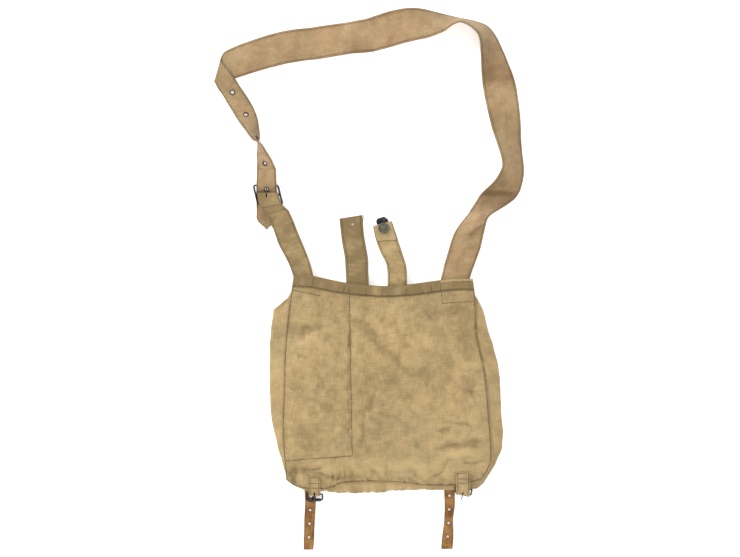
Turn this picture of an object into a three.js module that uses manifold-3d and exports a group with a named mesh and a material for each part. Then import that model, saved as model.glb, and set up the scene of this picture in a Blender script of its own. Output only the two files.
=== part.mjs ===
// Canvas haversack lying face down, seen on its back.
// Millimetres, +Z up, origin on the underside of the flap.
import * as THREE from "three";
import { mergeVertices } from "three/addons/utils/BufferGeometryUtils.js";
import Module from "manifold-3d";

const wasm = await Module();
wasm.setup();

// Cloth and leather
const CANVAS = 1.2;
const FLAP_CLOTH = 1.4;
const WEBBING = 1.6;
const LEATHER = 2;
const GAP = 0.3;
const SLACK = 0.6;

// Bag
const BAG_WIDTH = 320;
const BAG_HEIGHT = 290;
const MOUTH_RISE = 11.5;
const SEAM_RISE = 15;
const BELLY_RISE = 13;
const HEM_HEIGHT = 18;
const SEAM_ALLOWANCE = 7;
const FRONT_DROP = 26;
const FLAP_END_GAP = 22;
const POCKET_DEPTH = 4;
const WING_SAG = 2;

// Shoulder strap and its buckle strap
const WIDE_STRAP = 44;
const NARROW_STRAP = 27.5;
const BUCKLE_STRAP = 30;
const LOOP_HEIGHT = 370;
const STRAP_TAIL = 46;
const STRAP_POINT = 11;
const EYELET_PITCH = 36.5;
const EYELET_BORE = 4.8;
const EYELET_FLANGE = 8;
const EYELET_PLATE = 0.4;
const EYELET_WALL = 0.35;
const EYELET_CLEARANCE = 0.24;

// Strap buckle
const BUCKLE_WIRE = 2.6;
const BUCKLE_WIDTH = 36;
const BUCKLE_PITCH = 13;
const BUCKLE_SKEW = 0.24;
const BUCKLE_PLAY = 1.3;
const BUCKLE_APPROACH = 20;
const TONGUE_WIRE = 1.5;

// Belt tabs
const TAB_LEFT_WIDTH = 31;
const TAB_RIGHT_WIDTH = 28;
const TAB_REACH = 92;
const PATCH_LENGTH = 26;
const PATCH_CLOTH = 1;
const PATCH_SHARE = 0.9;
const TAB_BUTTON = 14.6;
const BUTTON_RISE = 3.2;
const HOOK_WIDTH = 16;
const HOOK_LENGTH = 12;
const HOOK_PLATE = 1.3;

// Lower tabs, their buckles and the closing straps
const LOWER_TAB_LEFT = 16;
const LOWER_TAB_RIGHT = 19;
const LOWER_TAB_REACH = 17;
const SMALL_WIRE = 2.2;
const SMALL_ROLLER = 4.4;
const ROLLER_PLAY = 1;
const SMALL_BUCKLE_WIDTH = 24;
const SMALL_BUCKLE_LENGTH = 8.2;
const SMALL_TONGUE = 1.4;
const SMALL_TONGUE_LENGTH = 9.5;
const SLOT_PLAY = 0.2;
const BAR_CLEARANCE = 1;
const BAR_LIFT_LEFT = 0.5;
const BAR_LIFT_RIGHT = 2.5;
const RIGHT_FRAME_LIFT = 3.4;
const CLOSING_WIDTH = 14;
const CLOSING_LENGTH = 82;
const CLOSING_SEWN = 26;
const CLOSING_HOLE = 3.4;
const CLOSING_HOLE_PITCH = 18.5;
const CLOSING_TUCK = 6;

// Heights that follow from the stack of layers
const FLAP_RISE = FLAP_CLOTH / 2;
const FRONT_RISE = FLAP_CLOTH + GAP + LEATHER + GAP + CANVAS / 2;
const LIP_RISE = FRONT_RISE + CANVAS + GAP;
const FOOT_RISE = MOUTH_RISE - CANVAS / 2 - GAP - WEBBING / 2;
const WING_RISE = (SEAM_RISE + LIP_RISE) / 2 - WING_SAG;
const LAYER = WEBBING + GAP;

// Colours
const KHAKI = 0xb09868;
const PALE_CANVAS = 0xc9b98c;
const STRAP_TAN = 0xbe9b6e;
const HIDE = 0xa57346;
const DARK_STEEL = 0x2c2a2a;
const DULL_STEEL = 0x6d6a60;
const BUTTON_GREY = 0x9a9a7c;

// Outline of the back panel: x as a share of BAG_WIDTH, y as a share of BAG_HEIGHT
const TOP_EDGE = [
  [-0.391, 0.516],
  [-0.306, 0.509],
  [-0.225, 0.49],
  [-0.17, 0.478],
  [-0.113, 0.471],
  [-0.013, 0.463],
  [0.085, 0.469],
  [0.187, 0.484],
  [0.276, 0.496],
  [0.367, 0.498],
];
const BOTTOM_EDGE = [
  [-0.423, -0.441],
  [-0.387, -0.469],
  [-0.34, -0.483],
  [-0.264, -0.485],
  [-0.223, -0.475],
  [-0.184, -0.456],
  [-0.061, -0.45],
  [0.06, -0.454],
  [0.149, -0.466],
  [0.23, -0.469],
  [0.323, -0.464],
  [0.408, -0.436],
];
const LEFT_EDGE = [
  [-0.423, -0.441],
  [-0.434, -0.319],
  [-0.439, -0.174],
  [-0.433, -0.023],
  [-0.431, 0.117],
  [-0.421, 0.263],
  [-0.405, 0.413],
  [-0.391, 0.516],
];
const RIGHT_EDGE = [
  [0.408, -0.436],
  [0.444, -0.356],
  [0.444, -0.258],
  [0.433, -0.103],
  [0.422, 0.033],
  [0.397, 0.169],
  [0.382, 0.253],
  [0.378, 0.399],
  [0.367, 0.498],
];

// Fold of the gusset: way round from the left top (0) past both lower corners (1/3, 2/3) to the right
// top (1), then x and y as above
const WING_EDGE = [
  [0.038, -0.412, 0.408],
  [0.059, -0.478, 0.352],
  [0.088, -0.487, 0.263],
  [0.114, -0.493, 0.188],
  [0.191, -0.493, -0.033],
  [0.235, -0.486, -0.159],
  [0.265, -0.468, -0.244],
  [0.291, -0.451, -0.319],
  [0.317, -0.431, -0.394],
  [0.344, -0.395, -0.452],
  [0.367, -0.34, -0.492],
  [0.397, -0.264, -0.493],
  [0.419, -0.21, -0.502],
  [0.443, -0.149, -0.502],
  [0.479, -0.06, -0.502],
  [0.529, 0.064, -0.49],
  [0.564, 0.153, -0.488],
  [0.598, 0.238, -0.488],
  [0.645, 0.353, -0.49],
  [0.656, 0.385, -0.482],
  [0.667, 0.412, -0.459],
  [0.673, 0.433, -0.42],
  [0.689, 0.46, -0.373],
  [0.717, 0.491, -0.295],
  [0.747, 0.496, -0.211],
  [0.762, 0.49, -0.169],
  [0.802, 0.485, -0.056],
  [0.834, 0.482, 0.033],
  [0.858, 0.474, 0.101],
  [0.891, 0.451, 0.192],
  [0.918, 0.429, 0.267],
  [0.946, 0.412, 0.347],
  [0.966, 0.386, 0.403],
];

// Creases of the back panel: ends as shares of the bag, half width as a share of BAG_WIDTH,
// rise as a share of BELLY_RISE
const CREASES = [
  { from: [-0.14, 0.3], to: [-0.076, 0.234], half: 0.014, rise: -0.2 },
  { from: [-0.076, 0.234], to: [0.034, 0.114], half: 0.014, rise: -0.22 },
  { from: [0.034, 0.114], to: [0.102, 0.056], half: 0.014, rise: -0.14 },
  { from: [-0.132, 0.338], to: [-0.064, 0.295], half: 0.016, rise: 0.12 },
  { from: [-0.064, 0.295], to: [0.021, 0.23], half: 0.016, rise: 0.14 },
  { from: [0.238, -0.3], to: [0.46, -0.262], half: 0.014, rise: -0.24 },
  { from: [0.247, -0.333], to: [0.45, -0.3], half: 0.012, rise: 0.14 },
  { from: [0.344, -0.366], to: [0.433, -0.356], half: 0.01, rise: -0.14 },
  { from: [-0.153, 0.417], to: [-0.153, -0.136], half: 0.009, rise: -0.1 },
  { from: [-0.153, -0.136], to: [-0.143, -0.328], half: 0.009, rise: -0.1 },
  { from: [-0.42, -0.352], to: [-0.273, -0.344], half: 0.008, rise: -0.08 },
  { from: [-0.273, -0.344], to: [-0.145, -0.326], half: 0.008, rise: -0.08 },
  { from: [-0.238, -0.42], to: [0.06, -0.42], half: 0.012, rise: -0.16 },
];

// Shoulder strap from the foot at the bag's right corner to the flat fold: x as a share of the distance
// between the feet, y as a share of LOOP_HEIGHT, way across and tilt in degrees, width as a share,
// lift as a share of FOOT_RISE
const WIDE_RUN = [
  { x: 0.985, y: -0.042, across: 188, tilt: 0, width: 0.92, lift: 1 },
  { x: 1.002, y: -0.007, across: 189, tilt: 0, width: 0.93, lift: 1 },
  { x: 1.037, y: 0.058, across: 184, tilt: 0, width: 0.97, lift: 0.7 },
  { x: 1.067, y: 0.107, across: 185, tilt: 0, width: 1, lift: 0.3 },
  { x: 1.094, y: 0.164, across: 189, tilt: -14, width: 1, lift: 0.1 },
  { x: 1.124, y: 0.206, across: 191, tilt: -31, width: 1, lift: 0 },
  { x: 1.171, y: 0.239, across: 182, tilt: -42, width: 1, lift: 0.2 },
  { x: 1.234, y: 0.272, across: 177, tilt: -20, width: 1, lift: 0.8 },
  { x: 1.291, y: 0.305, across: 176, tilt: 0, width: 1.1, lift: 1.1 },
  { x: 1.355, y: 0.353, across: 176, tilt: 28, width: 1, lift: 0.3 },
  { x: 1.387, y: 0.41, across: 177, tilt: 47, width: 1, lift: 0 },
  { x: 1.371, y: 0.47, across: 176, tilt: 44, width: 1, lift: 0 },
  { x: 1.35, y: 0.532, across: 178, tilt: 31, width: 1, lift: 0 },
  { x: 1.335, y: 0.594, across: 185, tilt: 17, width: 1, lift: 0 },
  { x: 1.313, y: 0.668, across: 189, tilt: 4, width: 1, lift: 0 },
  { x: 1.293, y: 0.729, across: 183, tilt: 6, width: 1, lift: 0 },
  { x: 1.269, y: 0.787, across: 181, tilt: 30, width: 1, lift: 0 },
  { x: 1.242, y: 0.845, across: 187, tilt: 48, width: 1, lift: 0 },
  { x: 1.184, y: 0.912, across: 222, tilt: 64, width: 1, lift: 0 },
  { x: 1.041, y: 0.946, across: 256, tilt: 79, width: 1, lift: 0 },
  { x: 0.93, y: 0.938, across: 271, tilt: 55, width: 1, lift: 0 },
  { x: 0.833, y: 0.935, across: 274, tilt: 30, width: 1, lift: 0 },
  { x: 0.722, y: 0.933, across: 278, tilt: 6, width: 1.03, lift: 0 },
  { x: 0.609, y: 0.919, across: 285, tilt: 0, width: 1.07, lift: 0 },
  { x: 0.444, y: 0.89, across: 283, tilt: 0, width: 1.05, lift: 0 },
  { x: 0.293, y: 0.875, across: 279, tilt: 12, width: 1, lift: 0 },
  { x: 0.07, y: 0.854, across: 277, tilt: 0, width: 1, lift: 0 },
  { x: -0.117, y: 0.839, across: 281, tilt: 0, width: 1, lift: 0 },
  { x: -0.311, y: 0.81, across: 283, tilt: 0, width: 0.97, lift: 0 },
  { x: -0.452, y: 0.783, across: 279, tilt: 0, width: 0.95, lift: 0 },
  { x: -0.557, y: 0.765, across: 254, tilt: 0, width: 0.96, lift: 0 },
];

// The same strap from the flat fold to its buckle: one layer up until it has crossed the wide run,
// then a half twist
const NARROW_RUN = [
  { x: -0.568, y: 0.749, across: 254, tilt: 0, width: 1.12, layer: 1 },
  { x: -0.498, y: 0.694, across: 217, tilt: 0, width: 0.97, layer: 1 },
  { x: -0.455, y: 0.657, across: 211, tilt: 0, width: 1, layer: 0.4 },
  { x: -0.413, y: 0.62, across: 208, tilt: 0, width: 1, layer: 0 },
  { x: -0.38, y: 0.587, across: 209, tilt: 20, width: 1, layer: 0 },
  { x: -0.349, y: 0.555, across: 217, tilt: 37, width: 1, layer: 0 },
  { x: -0.329, y: 0.528, across: 223, tilt: 52, width: 1, layer: 0 },
  { x: -0.312, y: 0.506, across: 228, tilt: 67, width: 1, layer: 0 },
  { x: -0.301, y: 0.489, across: 212, tilt: 90, width: 1, layer: 0 },
  { x: -0.287, y: 0.471, across: 198, tilt: 106, width: 1, layer: 0 },
  { x: -0.277, y: 0.45, across: 192, tilt: 118, width: 1, layer: 0 },
  { x: -0.259, y: 0.421, across: 185, tilt: 135, width: 1, layer: 0 },
  { x: -0.246, y: 0.385, across: 182, tilt: 162, width: 1, layer: 0.8 },
];

// Buckle strap from its foot at the bag's left corner to the stitches behind its buckle, in the same shares
const BUCKLE_STRAP_RUN = [
  { x: 0.013, y: -0.042, across: 181, lift: 1, width: 0.9 },
  { x: 0, y: -0.005, across: 184, lift: 1, width: 0.9 },
  { x: -0.023, y: 0.039, across: 190, lift: 0.72, width: 0.93 },
  { x: -0.062, y: 0.089, across: 200, lift: 0.42, width: 0.98 },
  { x: -0.102, y: 0.137, across: 203, lift: 0.36, width: 1 },
  { x: -0.134, y: 0.185, across: 202, lift: 0.6, width: 1 },
  { x: -0.168, y: 0.224, across: 202, lift: 0.92, width: 1 },
];

const root = new THREE.Group();

// Adds a named mesh with its own material
function add(name, geometry, colour, roughness, metalness = 0) {
  const material = new THREE.MeshStandardMaterial({ color: colour, roughness, metalness });
  const mesh = new THREE.Mesh(geometry, material);
  mesh.name = name;
  root.add(mesh);
}

// Value of a smooth curve through four neighbours
function blend(a, b, c, d, t) {
  const linear = (c - a) * t;
  const square = (2 * a - 5 * b + 4 * c - d) * t * t;
  const cube = (3 * b - a - 3 * c + d) * t * t * t;
  return b + 0.5 * (linear + square + cube);
}

// Row of a table at a share of the way from its first row to its last
function rowAt(table, share) {
  const place = THREE.MathUtils.clamp(share, 0, 1) * (table.length - 1);
  const index = Math.min(Math.floor(place), table.length - 2);
  const near = [index - 1, index, index + 1, index + 2].map(
    (i) => table[THREE.MathUtils.clamp(i, 0, table.length - 1)],
  );
  const row = {};
  for (const key of Object.keys(table[0])) {
    const [a, b, c, d] = near.map((r) => r[key]);
    row[key] = blend(a, b, c, d, place - index);
  }
  return row;
}

// Point of an edge table at a share of the straight line between its ends, in millimetres
function edgeAt(edge, share) {
  const start = edge[0];
  const end = edge[edge.length - 1];
  const chord = [end[0] - start[0], end[1] - start[1]];
  const length = chord[0] ** 2 + chord[1] ** 2;
  const places = edge.map(
    (row) => ((row[0] - start[0]) * chord[0] + (row[1] - start[1]) * chord[1]) / length,
  );
  const wanted = THREE.MathUtils.clamp(share, 0, 1);
  const after = THREE.MathUtils.clamp(places.findIndex((p) => p >= wanted), 1, edge.length - 1);
  const part = (wanted - places[after - 1]) / (places[after] - places[after - 1]);
  const row = rowAt(edge, (after - 1 + part) / (edge.length - 1));
  return new THREE.Vector2(row[0] * BAG_WIDTH, row[1] * BAG_HEIGHT);
}

// Closed sheet round a grid of middle points: grid[i][j], thickened by half each way
function clothSolid(grid, thickness) {
  const rows = grid.length;
  const columns = grid[0].length;
  const at = (i, j) =>
    grid[THREE.MathUtils.clamp(i, 0, rows - 1)][THREE.MathUtils.clamp(j, 0, columns - 1)];
  const positions = [];
  for (const side of [1, -1]) {
    for (let i = 0; i < rows; i++) {
      for (let j = 0; j < columns; j++) {
        const along = at(i + 1, j).clone().sub(at(i - 1, j));
        const across = at(i, j + 1).clone().sub(at(i, j - 1));
        const normal = along.cross(across).normalize();
        const p = at(i, j).clone().addScaledVector(normal, (side * thickness) / 2);
        positions.push(p.x, p.y, p.z);
      }
    }
  }
  const index = [];
  const quad = (a, b, c, d) => index.push(a, b, c, a, c, d);
  const top = (i, j) => i * columns + j;
  const under = (i, j) => rows * columns + top(i, j);
  for (let i = 0; i < rows - 1; i++) {
    for (let j = 0; j < columns - 1; j++) {
      quad(top(i, j), top(i + 1, j), top(i + 1, j + 1), top(i, j + 1));
      quad(under(i, j), under(i, j + 1), under(i + 1, j + 1), under(i + 1, j));
    }
    quad(top(i + 1, 0), top(i, 0), under(i, 0), under(i + 1, 0));
    quad(top(i, columns - 1), top(i + 1, columns - 1), under(i + 1, columns - 1), under(i, columns - 1));
  }
  for (let j = 0; j < columns - 1; j++) {
    quad(top(0, j), top(0, j + 1), under(0, j + 1), under(0, j));
    quad(top(rows - 1, j + 1), top(rows - 1, j), under(rows - 1, j), under(rows - 1, j + 1));
  }
  const geometry = new THREE.BufferGeometry();
  geometry.setAttribute("position", new THREE.Float32BufferAttribute(positions, 3));
  geometry.setIndex(index);
  return geometry;
}

// Grid of points from a function of two shares
function gridOf(rows, columns, pointAt) {
  const share = (k, count) => k / (count - 1);
  return Array.from({ length: rows }, (_, i) =>
    Array.from({ length: columns }, (_, j) => pointAt(share(i, rows), share(j, columns))),
  );
}

// Solid of a closed geometry, for cutting and joining
function solidOf(geometry) {
  const bare = geometry.clone();
  for (const name of ["normal", "uv"]) {
    bare.deleteAttribute(name);
  }
  const merged = mergeVertices(bare, 1e-4);
  return new wasm.Manifold(
    new wasm.Mesh({
      numProp: 3,
      vertProperties: new Float32Array(merged.attributes.position.array),
      triVerts: new Uint32Array(merged.index.array),
    }),
  );
}

function geometryOf(solid) {
  const mesh = solid.getMesh();
  const geometry = new THREE.BufferGeometry();
  geometry.setAttribute("position", new THREE.Float32BufferAttribute(mesh.vertProperties, 3));
  geometry.setIndex(new THREE.Uint32BufferAttribute(mesh.triVerts, 1));
  return geometry;
}

const joined = (geometries) => geometryOf(geometries.map(solidOf).reduce((a, b) => a.add(b)));
const cut = (geometry, tools) =>
  geometryOf(tools.map(solidOf).reduce((a, b) => a.subtract(b), solidOf(geometry)));

// Frame whose second axis is along a direction, moved to a point
function standAlong(geometry, direction, point) {
  const turn = new THREE.Quaternion().setFromUnitVectors(
    new THREE.Vector3(0, 1, 0),
    direction.clone().normalize(),
  );
  return geometry.applyQuaternion(turn).translate(point.x, point.y, point.z);
}

// Round rod with round ends between two points
function rod(from, to, diameter) {
  const way = to.clone().sub(from);
  const capsule = new THREE.CapsuleGeometry(diameter / 2, way.length(), 2, 8);
  return standAlong(capsule, way, from.clone().lerp(to, 0.5));
}

// Plain disc used as a punch
function punch(point, direction, diameter, depth) {
  return standAlong(new THREE.CylinderGeometry(diameter / 2, diameter / 2, depth, 12), direction, point);
}

// Ring of wire round a bar that runs along a direction
function eye(point, direction, ringDiameter, wire) {
  const ring = new THREE.TorusGeometry(ringDiameter / 2, wire / 2, 6, 12).rotateX(Math.PI / 2);
  return standAlong(ring, direction, point);
}

// Height of the back panel's middle surface over a point of the bag
function creaseRise(x, y) {
  let rise = 0;
  for (const crease of CREASES) {
    const from = new THREE.Vector2(crease.from[0] * BAG_WIDTH, crease.from[1] * BAG_HEIGHT);
    const to = new THREE.Vector2(crease.to[0] * BAG_WIDTH, crease.to[1] * BAG_HEIGHT);
    const way = to.clone().sub(from);
    const along = new THREE.Vector2(x, y).sub(from).dot(way) / way.lengthSq();
    const near = from.addScaledVector(way, THREE.MathUtils.clamp(along, 0, 1));
    const distance = near.distanceTo(new THREE.Vector2(x, y)) / (crease.half * BAG_WIDTH);
    rise += crease.rise * BELLY_RISE * Math.exp(-distance * distance);
  }
  return rise;
}

const PANEL_ROWS = 27;
const PANEL_COLUMNS = 24;
const HEM_SHARE = 1 - HEM_HEIGHT / BAG_HEIGHT;

// Back panel's middle surface: u from left to right, v from the bottom seam to the top edge
function backAt(u, v) {
  const left = edgeAt(LEFT_EDGE, v);
  const right = edgeAt(RIGHT_EDGE, v);
  const bottom = edgeAt(BOTTOM_EDGE, u);
  const top = edgeAt(TOP_EDGE, u);
  const corner = (a, b) => a.clone().lerp(b, u);
  const ruled = left.clone().lerp(right, u).add(bottom.clone().lerp(top, v));
  const corners = corner(edgeAt(LEFT_EDGE, 0), edgeAt(RIGHT_EDGE, 0)).lerp(
    corner(edgeAt(LEFT_EDGE, 1), edgeAt(RIGHT_EDGE, 1)),
    v,
  );
  const flat = ruled.sub(corners);
  const low = Math.min(v / HEM_SHARE, 1);
  const edge = THREE.MathUtils.lerp(SEAM_RISE, MOUTH_RISE, low * low);
  const swell = (1 - Math.abs(2 * u - 1) ** 3) * (1 - Math.abs(2 * low - 1) ** 3);
  const rise = edge + swell * BELLY_RISE + Math.min(1, 3 * swell) * creaseRise(flat.x, flat.y);
  return new THREE.Vector3(flat.x, flat.y, rise);
}

// A surface held off the back panel along its normal
function offBack(u, v, distance) {
  const step = 0.01;
  const along = backAt(u + step, v).sub(backAt(u - step, v));
  const up = backAt(u, v + step).sub(backAt(u, v - step));
  return backAt(u, v).addScaledVector(along.cross(up).normalize(), distance);
}

// Two rows of the panel's grid lie below the hem
const HEM_START = (PANEL_COLUMNS - 3) / (PANEL_COLUMNS - 1);
function panelAt(a, b) {
  const inHem = (b - HEM_START) / (1 - HEM_START);
  const v = b < HEM_START ? (b / HEM_START) * HEM_SHARE : THREE.MathUtils.lerp(HEM_SHARE, 1, inHem);
  return backAt(a, v);
}
add("back_panel", clothSolid(gridOf(PANEL_ROWS, PANEL_COLUMNS, panelAt), CANVAS), KHAKI, 0.95);

// Hem folded over the top edge
const hemAt = (u, v) => offBack(u, THREE.MathUtils.lerp(HEM_SHARE, 1 - GAP / BAG_HEIGHT, v), CANVAS + SLACK);
add("top_hem", clothSolid(gridOf(PANEL_ROWS, 3, hemAt), CANVAS), KHAKI, 0.95);

// Inner pocket, sewn behind the lower left of the back panel and open at its top
const POCKET = { left: 0.03, right: 0.325, bottom: 0.1, top: 0.86 };
function pocketAt(a, b) {
  const u = THREE.MathUtils.lerp(POCKET.left, POCKET.right, a);
  const v = THREE.MathUtils.lerp(POCKET.bottom, POCKET.top, b);
  const slack = (1 - Math.abs(2 * a - 1) ** 4) * Math.min(1, 4 * b);
  return offBack(u, v, -CANVAS - 2 * SLACK - slack * POCKET_DEPTH);
}
add("inner_pocket", clothSolid(gridOf(9, 10, pocketAt), CANVAS), KHAKI, 0.95);

// Front panel, flat under the bag, lower at the mouth than the back
const FRONT_SHARE = 1 - FRONT_DROP / BAG_HEIGHT;
const FRONT_ROWS = 14;
function frontAt(u, v) {
  const above = backAt(u, v * FRONT_SHARE);
  return new THREE.Vector3(above.x, above.y, FRONT_RISE);
}
add("front_panel", clothSolid(gridOf(FRONT_ROWS, 8, frontAt), CANVAS), KHAKI, 0.95);

// Way round the sides and the bottom of a panel, held in from its edge by a distance
const TOP_SHARE = 1 - (HEM_HEIGHT + SEAM_ALLOWANCE) / BAG_HEIGHT;
function round(share, inset) {
  const u = inset / BAG_WIDTH;
  const v = inset / BAG_HEIGHT;
  if (share < 1 / 3) return [u, THREE.MathUtils.lerp(TOP_SHARE, v, 3 * share)];
  if (share < 2 / 3) return [THREE.MathUtils.lerp(u, 1 - u, 3 * share - 1), v];
  return [1 - u, THREE.MathUtils.lerp(v, TOP_SHARE, 3 * share - 2)];
}

// Fold of the wing at a share of the way round
function wingAt(share) {
  const place = WING_EDGE.findIndex((row) => row[0] >= share);
  const after = place < 0 ? WING_EDGE.length - 1 : Math.max(place, 1);
  const [a, b] = [WING_EDGE[after - 1], WING_EDGE[after]];
  const t = THREE.MathUtils.clamp((share - a[0]) / (b[0] - a[0]), 0, 1);
  const x = THREE.MathUtils.lerp(a[1], b[1], t) * BAG_WIDTH;
  const y = THREE.MathUtils.lerp(a[2], b[2], t) * BAG_HEIGHT;
  return new THREE.Vector2(x, y);
}

// Gusset from the lip under the back panel, out to the wing and in to the lip over the front panel
const GUSSET_ROWS = 58;
function gussetAt(share, across) {
  const first = WING_EDGE[0][0];
  const last = WING_EDGE[WING_EDGE.length - 1][0];
  const wing = wingAt(THREE.MathUtils.lerp(first, last, share));
  const upperIn = offBack(...round(share, SEAM_ALLOWANCE), -CANVAS - 2 * SLACK);
  const upperEdge = offBack(...round(share, GAP), -CANVAS - SLACK);
  const outward = new THREE.Vector2(wing.x - upperEdge.x, wing.y - upperEdge.y);
  const reach = Math.max(outward.length(), CANVAS);
  outward.normalize();
  const point = (from, part, rise) =>
    new THREE.Vector3(from.x + outward.x * reach * part, from.y + outward.y * reach * part, rise);
  const stations = [
    upperIn,
    upperEdge,
    point(upperEdge, 0.55, THREE.MathUtils.lerp(upperEdge.z, WING_RISE, 0.45)),
    point(upperEdge, 0.93, WING_RISE + CANVAS),
    point(upperEdge, 0.93, WING_RISE - CANVAS),
    point(upperEdge, 0.5, THREE.MathUtils.lerp(LIP_RISE, WING_RISE, 0.35)),
    point(upperEdge, 0, LIP_RISE),
    new THREE.Vector3(upperIn.x, upperIn.y, LIP_RISE),
  ].map((p) => [p.x, p.y, p.z]);
  const row = rowAt(stations, across);
  return new THREE.Vector3(row[0], row[1], row[2]);
}
add("gusset", clothSolid(gridOf(GUSSET_ROWS, 9, gussetAt), CANVAS), KHAKI, 0.95);

// Flap: from under the hem round the mouth, then flat below the bag
const FLAP_TOP_RISE = FOOT_RISE - WEBBING / 2 - GAP - FLAP_CLOTH / 2;
const FLAP_CURL = (FLAP_TOP_RISE - FLAP_RISE) / 2;
function flapAt(u, way) {
  const inset = THREE.MathUtils.lerp(0.05, 0.95, u);
  const edge = backAt(inset, 1);
  const centre = new THREE.Vector3(edge.x, edge.y - FLAP_CURL, FLAP_RISE + FLAP_CURL);
  const curlStart = 2 / 15;
  const curlEnd = 8 / 15;
  if (way < curlStart) {
    const back = (1 - way / curlStart) * (HEM_HEIGHT - FLAP_CURL - GAP);
    return new THREE.Vector3(centre.x, centre.y - back, FLAP_TOP_RISE);
  }
  if (way <= curlEnd) {
    const angle = Math.PI / 2 - (Math.PI * (way - curlStart)) / (curlEnd - curlStart);
    const out = new THREE.Vector3(0, Math.cos(angle), Math.sin(angle));
    return centre.addScaledVector(out, FLAP_CURL);
  }
  const down = (way - curlEnd) / (1 - curlEnd);
  const end = backAt(inset, FLAP_END_GAP / BAG_HEIGHT);
  return new THREE.Vector3(
    THREE.MathUtils.lerp(centre.x, end.x, down),
    THREE.MathUtils.lerp(centre.y, end.y, down),
    FLAP_RISE,
  );
}
add("flap", clothSolid(gridOf(12, 16, flapAt), FLAP_CLOTH), KHAKI, 0.95);

// Feet of the straps on the top edge
const FOOT_LEFT = backAt(0.06, 1);
const FOOT_RIGHT = backAt(0.897, 1);

// Rows of a strap: middle point and the half vector across it
function ribbonRow(row, fullWidth) {
  const across = THREE.MathUtils.degToRad(row.across);
  const tilt = THREE.MathUtils.degToRad(row.tilt ?? 0);
  const half = (fullWidth * row.width) / 2;
  const side = new THREE.Vector3(
    Math.cos(across) * Math.cos(tilt),
    Math.sin(across) * Math.cos(tilt),
    Math.sin(tilt),
  ).multiplyScalar(half);
  const x = THREE.MathUtils.lerp(FOOT_LEFT.x, FOOT_RIGHT.x, row.x);
  const foot = THREE.MathUtils.lerp(FOOT_LEFT.y, FOOT_RIGHT.y, THREE.MathUtils.clamp(row.x, 0, 1));
  const rest = WEBBING / 2 + Math.max(row.layer ?? 0, 0) * LAYER + Math.abs(side.z);
  const rise = rest + (row.lift ?? 0) * (FOOT_RISE - WEBBING / 2);
  return { middle: new THREE.Vector3(x, foot + row.y * LOOP_HEIGHT, rise), side };
}

const sampled = (table, steps, fullWidth) =>
  Array.from({ length: steps + 1 }, (_, i) => ribbonRow(rowAt(table, i / steps), fullWidth));

// Grid of a strap from its rows, with a number of columns across
const ribbonGrid = (rows, columns) =>
  rows.map(({ middle, side }) =>
    Array.from({ length: columns }, (_, j) =>
      middle.clone().addScaledVector(side, (2 * j) / (columns - 1) - 1),
    ),
  );

// Half circle that carries a strap from one layer to the next at a flat fold
function foldRows(before, after, steps) {
  const outward = new THREE.Vector3(-before.side.y, before.side.x, 0).normalize();
  if (outward.x > 0) outward.negate();
  const rows = [];
  for (let i = 1; i < steps; i++) {
    const angle = (Math.PI * i) / steps;
    const middle = before.middle.clone().lerp(after.middle, i / steps);
    middle.addScaledVector(outward, (Math.sin(angle) * LAYER) / 2);
    middle.z = before.middle.z + ((1 - Math.cos(angle)) * LAYER) / 2;
    rows.push({ middle, side: before.side.clone().lerp(after.side, i / steps) });
  }
  return rows;
}

const wideRows = sampled(WIDE_RUN, 60, WIDE_STRAP);
const narrowRows = sampled(NARROW_RUN, 36, NARROW_STRAP);
const foldedRows = foldRows(wideRows[wideRows.length - 1], narrowRows[0], 6);

// Strap buckle: three bars across the strap. The strap goes over the first bar and under the middle one.
// The frame leans, and the strap is centred on it at STRAIGHT_BAR pitches from the first bar.
const lastNarrow = narrowRows[narrowRows.length - 1].middle;
const WRAP = BUCKLE_WIRE / 2 + GAP + WEBBING / 2;
const UNDER_WRAP = WRAP + LAYER;
const BAR_RISE = WEBBING / 2 + UNDER_WRAP;
const STRAIGHT_BAR = 0.36;
const barAt = (pitches) =>
  new THREE.Vector3(
    lastNarrow.x + (pitches - STRAIGHT_BAR) * BUCKLE_PITCH * BUCKLE_SKEW,
    lastNarrow.y - BUCKLE_APPROACH - pitches * BUCKLE_PITCH,
    BAR_RISE,
  );
const [firstBar, middleBar, rearBar] = [0, 1, 2].map(barAt);

const slope = Math.asin((WRAP + UNDER_WRAP) / BUCKLE_PITCH);
const acrossBuckle = new THREE.Vector3(NARROW_STRAP / 2, 0, 0);
const tailX = lastNarrow.x;
const passRow = (y, z) => ({ middle: new THREE.Vector3(tailX, y, z), side: acrossBuckle.clone() });
const passRows = [];
for (const angle of [0.5, 0, -slope / 2, -slope]) {
  passRows.push(passRow(firstBar.y + Math.sin(angle) * WRAP, BAR_RISE + Math.cos(angle) * WRAP));
}
const slopeTop = passRows[passRows.length - 1].middle;
const slopeFoot = new THREE.Vector3(
  tailX,
  middleBar.y + Math.sin(slope) * UNDER_WRAP,
  BAR_RISE - Math.cos(slope) * UNDER_WRAP,
);
for (const share of [0.33, 0.66]) {
  const middle = slopeTop.clone().lerp(slopeFoot, share);
  passRows.push(passRow(middle.y, middle.z));
}
for (const share of [1, 0.5, 0]) {
  const angle = slope * share;
  passRows.push(
    passRow(middleBar.y + Math.sin(angle) * UNDER_WRAP, BAR_RISE - Math.cos(angle) * UNDER_WRAP),
  );
}

// Tail beyond the middle bar, cut to a point
const tailRows = [];
for (const share of [0.25, 0.5, 0.7, 0.85, 0.95, 1]) {
  const past = share * STRAP_TAIL;
  const left = THREE.MathUtils.clamp((STRAP_TAIL - past) / STRAP_POINT, 0.08, 1);
  const middle = new THREE.Vector3(tailX, middleBar.y - past, WEBBING / 2);
  tailRows.push({ middle, side: acrossBuckle.clone().multiplyScalar(left) });
}

const endRows = [...foldedRows, ...narrowRows, ...passRows, ...tailRows];

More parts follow.
